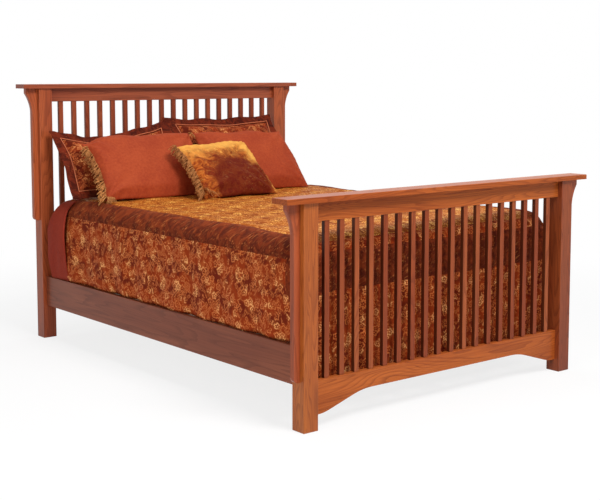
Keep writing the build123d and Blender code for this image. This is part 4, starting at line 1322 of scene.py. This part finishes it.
for node, pad in pads.items():
    shape = read_points(pad)
    rumpled = creases(shape, node, CREASE_DEPTH[node])
    lump = GOLD_LUMP if kind_of(node) == "gold" else SOFT_LUMP
    lumpy = ripple(rumpled, (0.21, 0.13), lump, len(node) + 2)
    rumpled[:, 2] += np.sign(shape[:, 2]) * lumpy * np.clip(np.abs(shape[:, 2]) / 0.02, 0, 1)
    write_points(pad, settle(rumpled, node))
    pad.matrix_world = lean_matrix(node)
    refine(pad)
    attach(pad, ROOT_BODY)
    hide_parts(node)
print("pillows settled:", len(pads))

# %% [markdown]
# ## Sham flanges
# The flange is a flat double hem of velvet outside the seam. It is a ring of squares: the
# inner edge hides inside the pad, and the outer edge waves, because nothing stuffs it.
# A thin cord is sewn into the seam between the two cloths.

# %% Flanges and piping
HIDDEN_HEM = 0.05
PIPING_RADIUS = 0.0025


def rim_path(width, height, pull, count):
    """Points round a pillow's outline, spaced evenly along its four sides."""
    path = []
    for side in range(4):
        for step in range(count):
            t = -1 + 2 * step / count
            along = width / 2 if side % 2 == 0 else height / 2
            other = height / 2 if side % 2 == 0 else width / 2
            x, y = along * t, -(other - pull * (1 - t * t))
            for _ in range(side):
                x, y = -y, x
            path.append((x, y))
    return np.array(path)


def flange(node):
    """A wavy velvet border round a sham's pad, with piping on its seam."""
    width, height, _, _ = PILLOWS[node]
    inner_width, inner_height, _ = pad_size(node)
    around, steps = 66, 9
    outer = rim_path(width, height, SIDE_PULL, around)
    inner = rim_path(inner_width - HIDDEN_HEM, inner_height - HIDDEN_HEM, SIDE_PULL, around)
    count = len(outer)
    points = []
    for step in range(steps + 1):
        share = step / steps
        ring = inner * (1 - share) + outer * share
        wave = ripple(outer, (0.20, 0.12), 0.0065, len(node) + 9) * share ** 1.5
        points.append(np.column_stack([ring, wave]))
    points = settle(np.concatenate(points), node)
    faces = [(s * count + k, s * count + (k + 1) % count, (s + 1) * count + (k + 1) % count,
              (s + 1) * count + k) for s in range(steps) for k in range(count)]
    border = new_piece(f"{node}_flange", points, [f[::-1] for f in faces], [flange_velvet])
    border.matrix_world = lean_matrix(node)
    thicken(border, "hem_thickness", 0.007, 0)
    refine(border)
    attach(border, ROOT_BODY)
    seam = rim_path(inner_width + 0.004, inner_height + 0.004, SIDE_PULL, 90)
    seam = settle(np.column_stack([seam, np.full(len(seam), 0.006)]), node)
    cord = tube(f"{node}_piping", seam, PIPING_RADIUS, piping_cloth)
    cord.matrix_world = lean_matrix(node)
    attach(cord, ROOT_BODY)


shams = [node for node in PILLOWS if kind_of(node) == "sham"]
for node in shams:
    flange(node)
print("flanges and piping made:", len(shams))

# %% [markdown]
# ## Fringe
# Bullion fringe is a row of twisted cords sewn side by side into an edge. Each cord here
# is its own small tube that leaves the edge, droops and curls, and no two are alike. They
# are joined into one mesh for each fringe, because hundreds of objects would be slow.

# %% Fringe builder
def fringe(node, label, edge, out, length, radius, spacing, seed, droop):
    """Short twisted cords along an edge, in the pillow's own flat frame."""
    dice = np.random.default_rng(seed)
    edge = np.array(edge, float)
    spans = np.linalg.norm(np.diff(edge, axis=0), axis=1)
    travelled = np.concatenate([[0], np.cumsum(spans)])
    count = int(travelled[-1] / spacing)
    sides, rings = 6, 9
    points, faces = [], []
    for k in range(count):
        place = (k + 0.5) * spacing
        root = np.array([np.interp(place, travelled, edge[:, axis]) for axis in range(3)])
        way = np.array(out, float) + dice.normal(0, 0.13, 3)
        way /= np.linalg.norm(way)
        reach = length * dice.uniform(0.8, 1.1)
        sideways = np.cross(way, (0, 0, 1.0))
        lift = np.cross(sideways, way)
        base = len(points)
        for ring in range(rings):
            t = ring / (rings - 1)
            curl = math.sin(t * math.pi * 1.1)
            middle = root + way * reach * t + lift * curl * length * 0.26
            middle = middle + np.array([0, -1, 0]) * droop * reach * t * t
            twist = t * 9 + k
            girth = radius * (1 - 0.25 * t)
            for side in range(sides):
                turn = 2 * math.pi * side / sides + twist
                ridge = girth * (1 + 0.28 * math.cos(2 * (turn - twist)))
                points.append(middle + (sideways * math.cos(turn) + lift * math.sin(turn)) * ridge)
        for ring in range(rings - 1):
            for side in range(sides):
                a = base + ring * sides + side
                b = base + ring * sides + (side + 1) % sides
                faces.append((a, b, b + sides, a + sides))
        faces.append(tuple(base + side for side in range(sides))[::-1])
        faces.append(tuple(base + (rings - 1) * sides + side for side in range(sides)))
    trim = new_piece(f"{node}_{label}", settle(np.array(points), node), faces, [gold_cord])
    trim.matrix_world = lean_matrix(node)
    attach(trim, ROOT_BODY)
    print(node, label, "cords:", count)


def left_edge(node, front, low=-0.97, high=0.97):
    """Points down the left seam of a pillow, a little in front of it."""
    width, height, _ = pad_size(node)
    ts = np.linspace(high, low, 40)
    return [(-(width / 2 - SIDE_PULL * (1 - t * t)) + 0.006, t * height / 2, front) for t in ts]


print("fringe builder ready")

# %% [markdown]
# ## Where the fringe goes
# The left rust pillow and the gold one carry a fringe down their left seam, in two layers so
# that no gap shows between the cords. A short tuft closes the lower left corner of each, and
# one small tassel hangs from the rust pillow's upper right corner.

# %% Fringes
rust_width, rust_height, _ = pad_size("rust_pillow_left")
gold_width, gold_height, _ = pad_size("gold_pillow")
fringe("rust_pillow_left", "fringe", left_edge("rust_pillow_left", 0.010, high=0.74),
       out=(-0.75, -0.35, 0.55), length=0.056, radius=0.0042, spacing=0.0054, seed=5, droop=0.25)
fringe("rust_pillow_left", "fringe_under", left_edge("rust_pillow_left", 0.002, high=0.70),
       out=(-0.95, -0.25, 0.15), length=0.044, radius=0.0040, spacing=0.0056, seed=6, droop=0.25)
fringe("rust_pillow_left", "tuft", [(-rust_width / 2 + 0.012, -rust_height / 2 + 0.02, 0.01),
                                    (-rust_width / 2 + 0.040, -rust_height / 2 + 0.004, 0.02)],
       out=(-0.25, -0.6, 0.5), length=0.052, radius=0.0022, spacing=0.0016, seed=7, droop=0.2)
fringe("rust_pillow_left", "tassel", [(rust_width / 2 - 0.016, rust_height / 2 - 0.012, 0.012),
                                      (rust_width / 2 - 0.004, rust_height / 2 - 0.022, 0.014)],
       out=(0.15, -0.7, 0.6), length=0.040, radius=0.0022, spacing=0.0014, seed=8, droop=0.3)
fringe("gold_pillow", "fringe", left_edge("gold_pillow", 0.008),
       out=(-0.85, -0.2, 0.42), length=0.058, radius=0.0036, spacing=0.0048, seed=9, droop=0.35)
fringe("gold_pillow", "fringe_under", left_edge("gold_pillow", 0.0),
       out=(-0.98, -0.3, 0.1), length=0.046, radius=0.0032, spacing=0.0052, seed=10, droop=0.4)
fringe("gold_pillow", "tuft", [(-gold_width / 2 + 0.01, -gold_height / 2 + 0.06, 0.012),
                               (-gold_width / 2 + 0.06, -gold_height / 2 + 0.008, 0.016)],
       out=(0.1, -0.55, 0.7), length=0.055, radius=0.0018, spacing=0.0030, seed=11, droop=0.2)
print("fringes made")

# %% [markdown]
# ## The floor
# The floor is one wide square that takes the bed's soft shadow. To the camera it also glows
# white, a little less near the bed, so the shadow still shows there. That glow is only for
# camera and mirror rays, so it adds no light to the wood.

# %% Floor
FLOOR_REACH = 30.0
FLOOR_DROP = 0.0005
FLOOR_GLOW_NEAR = 0.8
WHITE = (1, 1, 1, 1)
floor_mesh = bpy.data.meshes.new("floor")
floor_mesh.from_pydata([(-FLOOR_REACH, -FLOOR_REACH, 0), (FLOOR_REACH, -FLOOR_REACH, 0),
                        (FLOOR_REACH, FLOOR_REACH, 0), (-FLOOR_REACH, FLOOR_REACH, 0)], [], [(0, 1, 2, 3)])
floor = bpy.data.objects.new("floor", floor_mesh)
floor.location.z = -FLOOR_DROP
bpy.context.scene.collection.objects.link(floor)
floor_material = bpy.data.materials.new("floor")
floor_material.use_nodes = True
tree = floor_material.node_tree
tree.nodes.clear()
matt = add_node(tree, "ShaderNodeBsdfDiffuse", {"Color": (0.92, 0.92, 0.92, 1)})
glow = add_node(tree, "ShaderNodeEmission", {"Color": WHITE, "Strength": 1.0})
path = add_node(tree, "ShaderNodeLightPath").outputs
seen = calc(tree, "MAXIMUM", path["Is Camera Ray"], path["Is Glossy Ray"])
floor_place = add_node(tree, "ShaderNodeTexCoord").outputs["Object"]
from_bed = add_node(tree, "ShaderNodeVectorMath", {0: floor_place}, operation="LENGTH").outputs["Value"]
far_share = calc(tree, "MULTIPLY", soft_step(tree, from_bed, 1.0, 4.0), 1 - FLOOR_GLOW_NEAR)
white_share = calc(tree, "ADD", far_share, FLOOR_GLOW_NEAR)
mixed = add_node(tree, "ShaderNodeMixShader", {0: calc(tree, "MULTIPLY", seen, white_share),
                                               1: matt.outputs[0], 2: glow.outputs[0]})
add_node(tree, "ShaderNodeOutputMaterial", {0: mixed.outputs[0]})
floor_mesh.materials.append(floor_material)
print("floor reaches", FLOOR_REACH, "m each way")

# %% [markdown]
# ## The sky
# An even pale sky fills the shadows. It lights the bed weakly, but the camera, mirrors and
# glass see it at full white.

# %% Sky
SKY_LEVEL = 0.28
world = bpy.data.worlds.new("studio")
bpy.context.scene.world = world
world.use_nodes = True
tree = world.node_tree
tree.nodes.clear()
path = add_node(tree, "ShaderNodeLightPath").outputs
seen = calc(tree, "MAXIMUM", path["Is Camera Ray"], path["Is Glossy Ray"])
seen = calc(tree, "MAXIMUM", seen, path["Is Transmission Ray"])
level = calc(tree, "ADD", calc(tree, "MULTIPLY", seen, 1.0 - SKY_LEVEL), SKY_LEVEL)
sky = add_node(tree, "ShaderNodeBackground", {"Color": WHITE, "Strength": level})
add_node(tree, "ShaderNodeOutputWorld", {0: sky.outputs[0]})
print("sky level", SKY_LEVEL)

# %% [markdown]
# ## The lamps
# Soft studio light from three square boxes: a strong key high beside the camera's right, a
# broad weak fill from its left, and a top light over the pillows. Large lamps make soft
# shadows, which is what shows the roundness of cloth.

# %% Soft boxes
def soft_box(name, place, target, size, watts):
    """A large square lamp aimed at a point."""
    data = bpy.data.lights.new(name, "AREA")
    data.shape = "SQUARE"
    data.size = size
    data.energy = watts
    lamp = bpy.data.objects.new(name, data)
    lamp.location = place
    lamp.rotation_euler = (Vector(target) - Vector(place)).to_track_quat("-Z", "Y").to_euler()
    bpy.context.scene.collection.objects.link(lamp)


soft_box("key", (-0.5, -3.7, 4.5), (0, -0.4, 0.6), 1.7, 225)
soft_box("fill", (-5.2, -1.8, 2.6), (0, 0, 0.6), 3.0, 75)
soft_box("top", (0.4, 0.9, 4.6), (0, 0, 0.5), 2.6, 52)
bpy.context.scene.view_settings.view_transform = "Standard"
print("soft boxes:", len(bpy.data.lights))
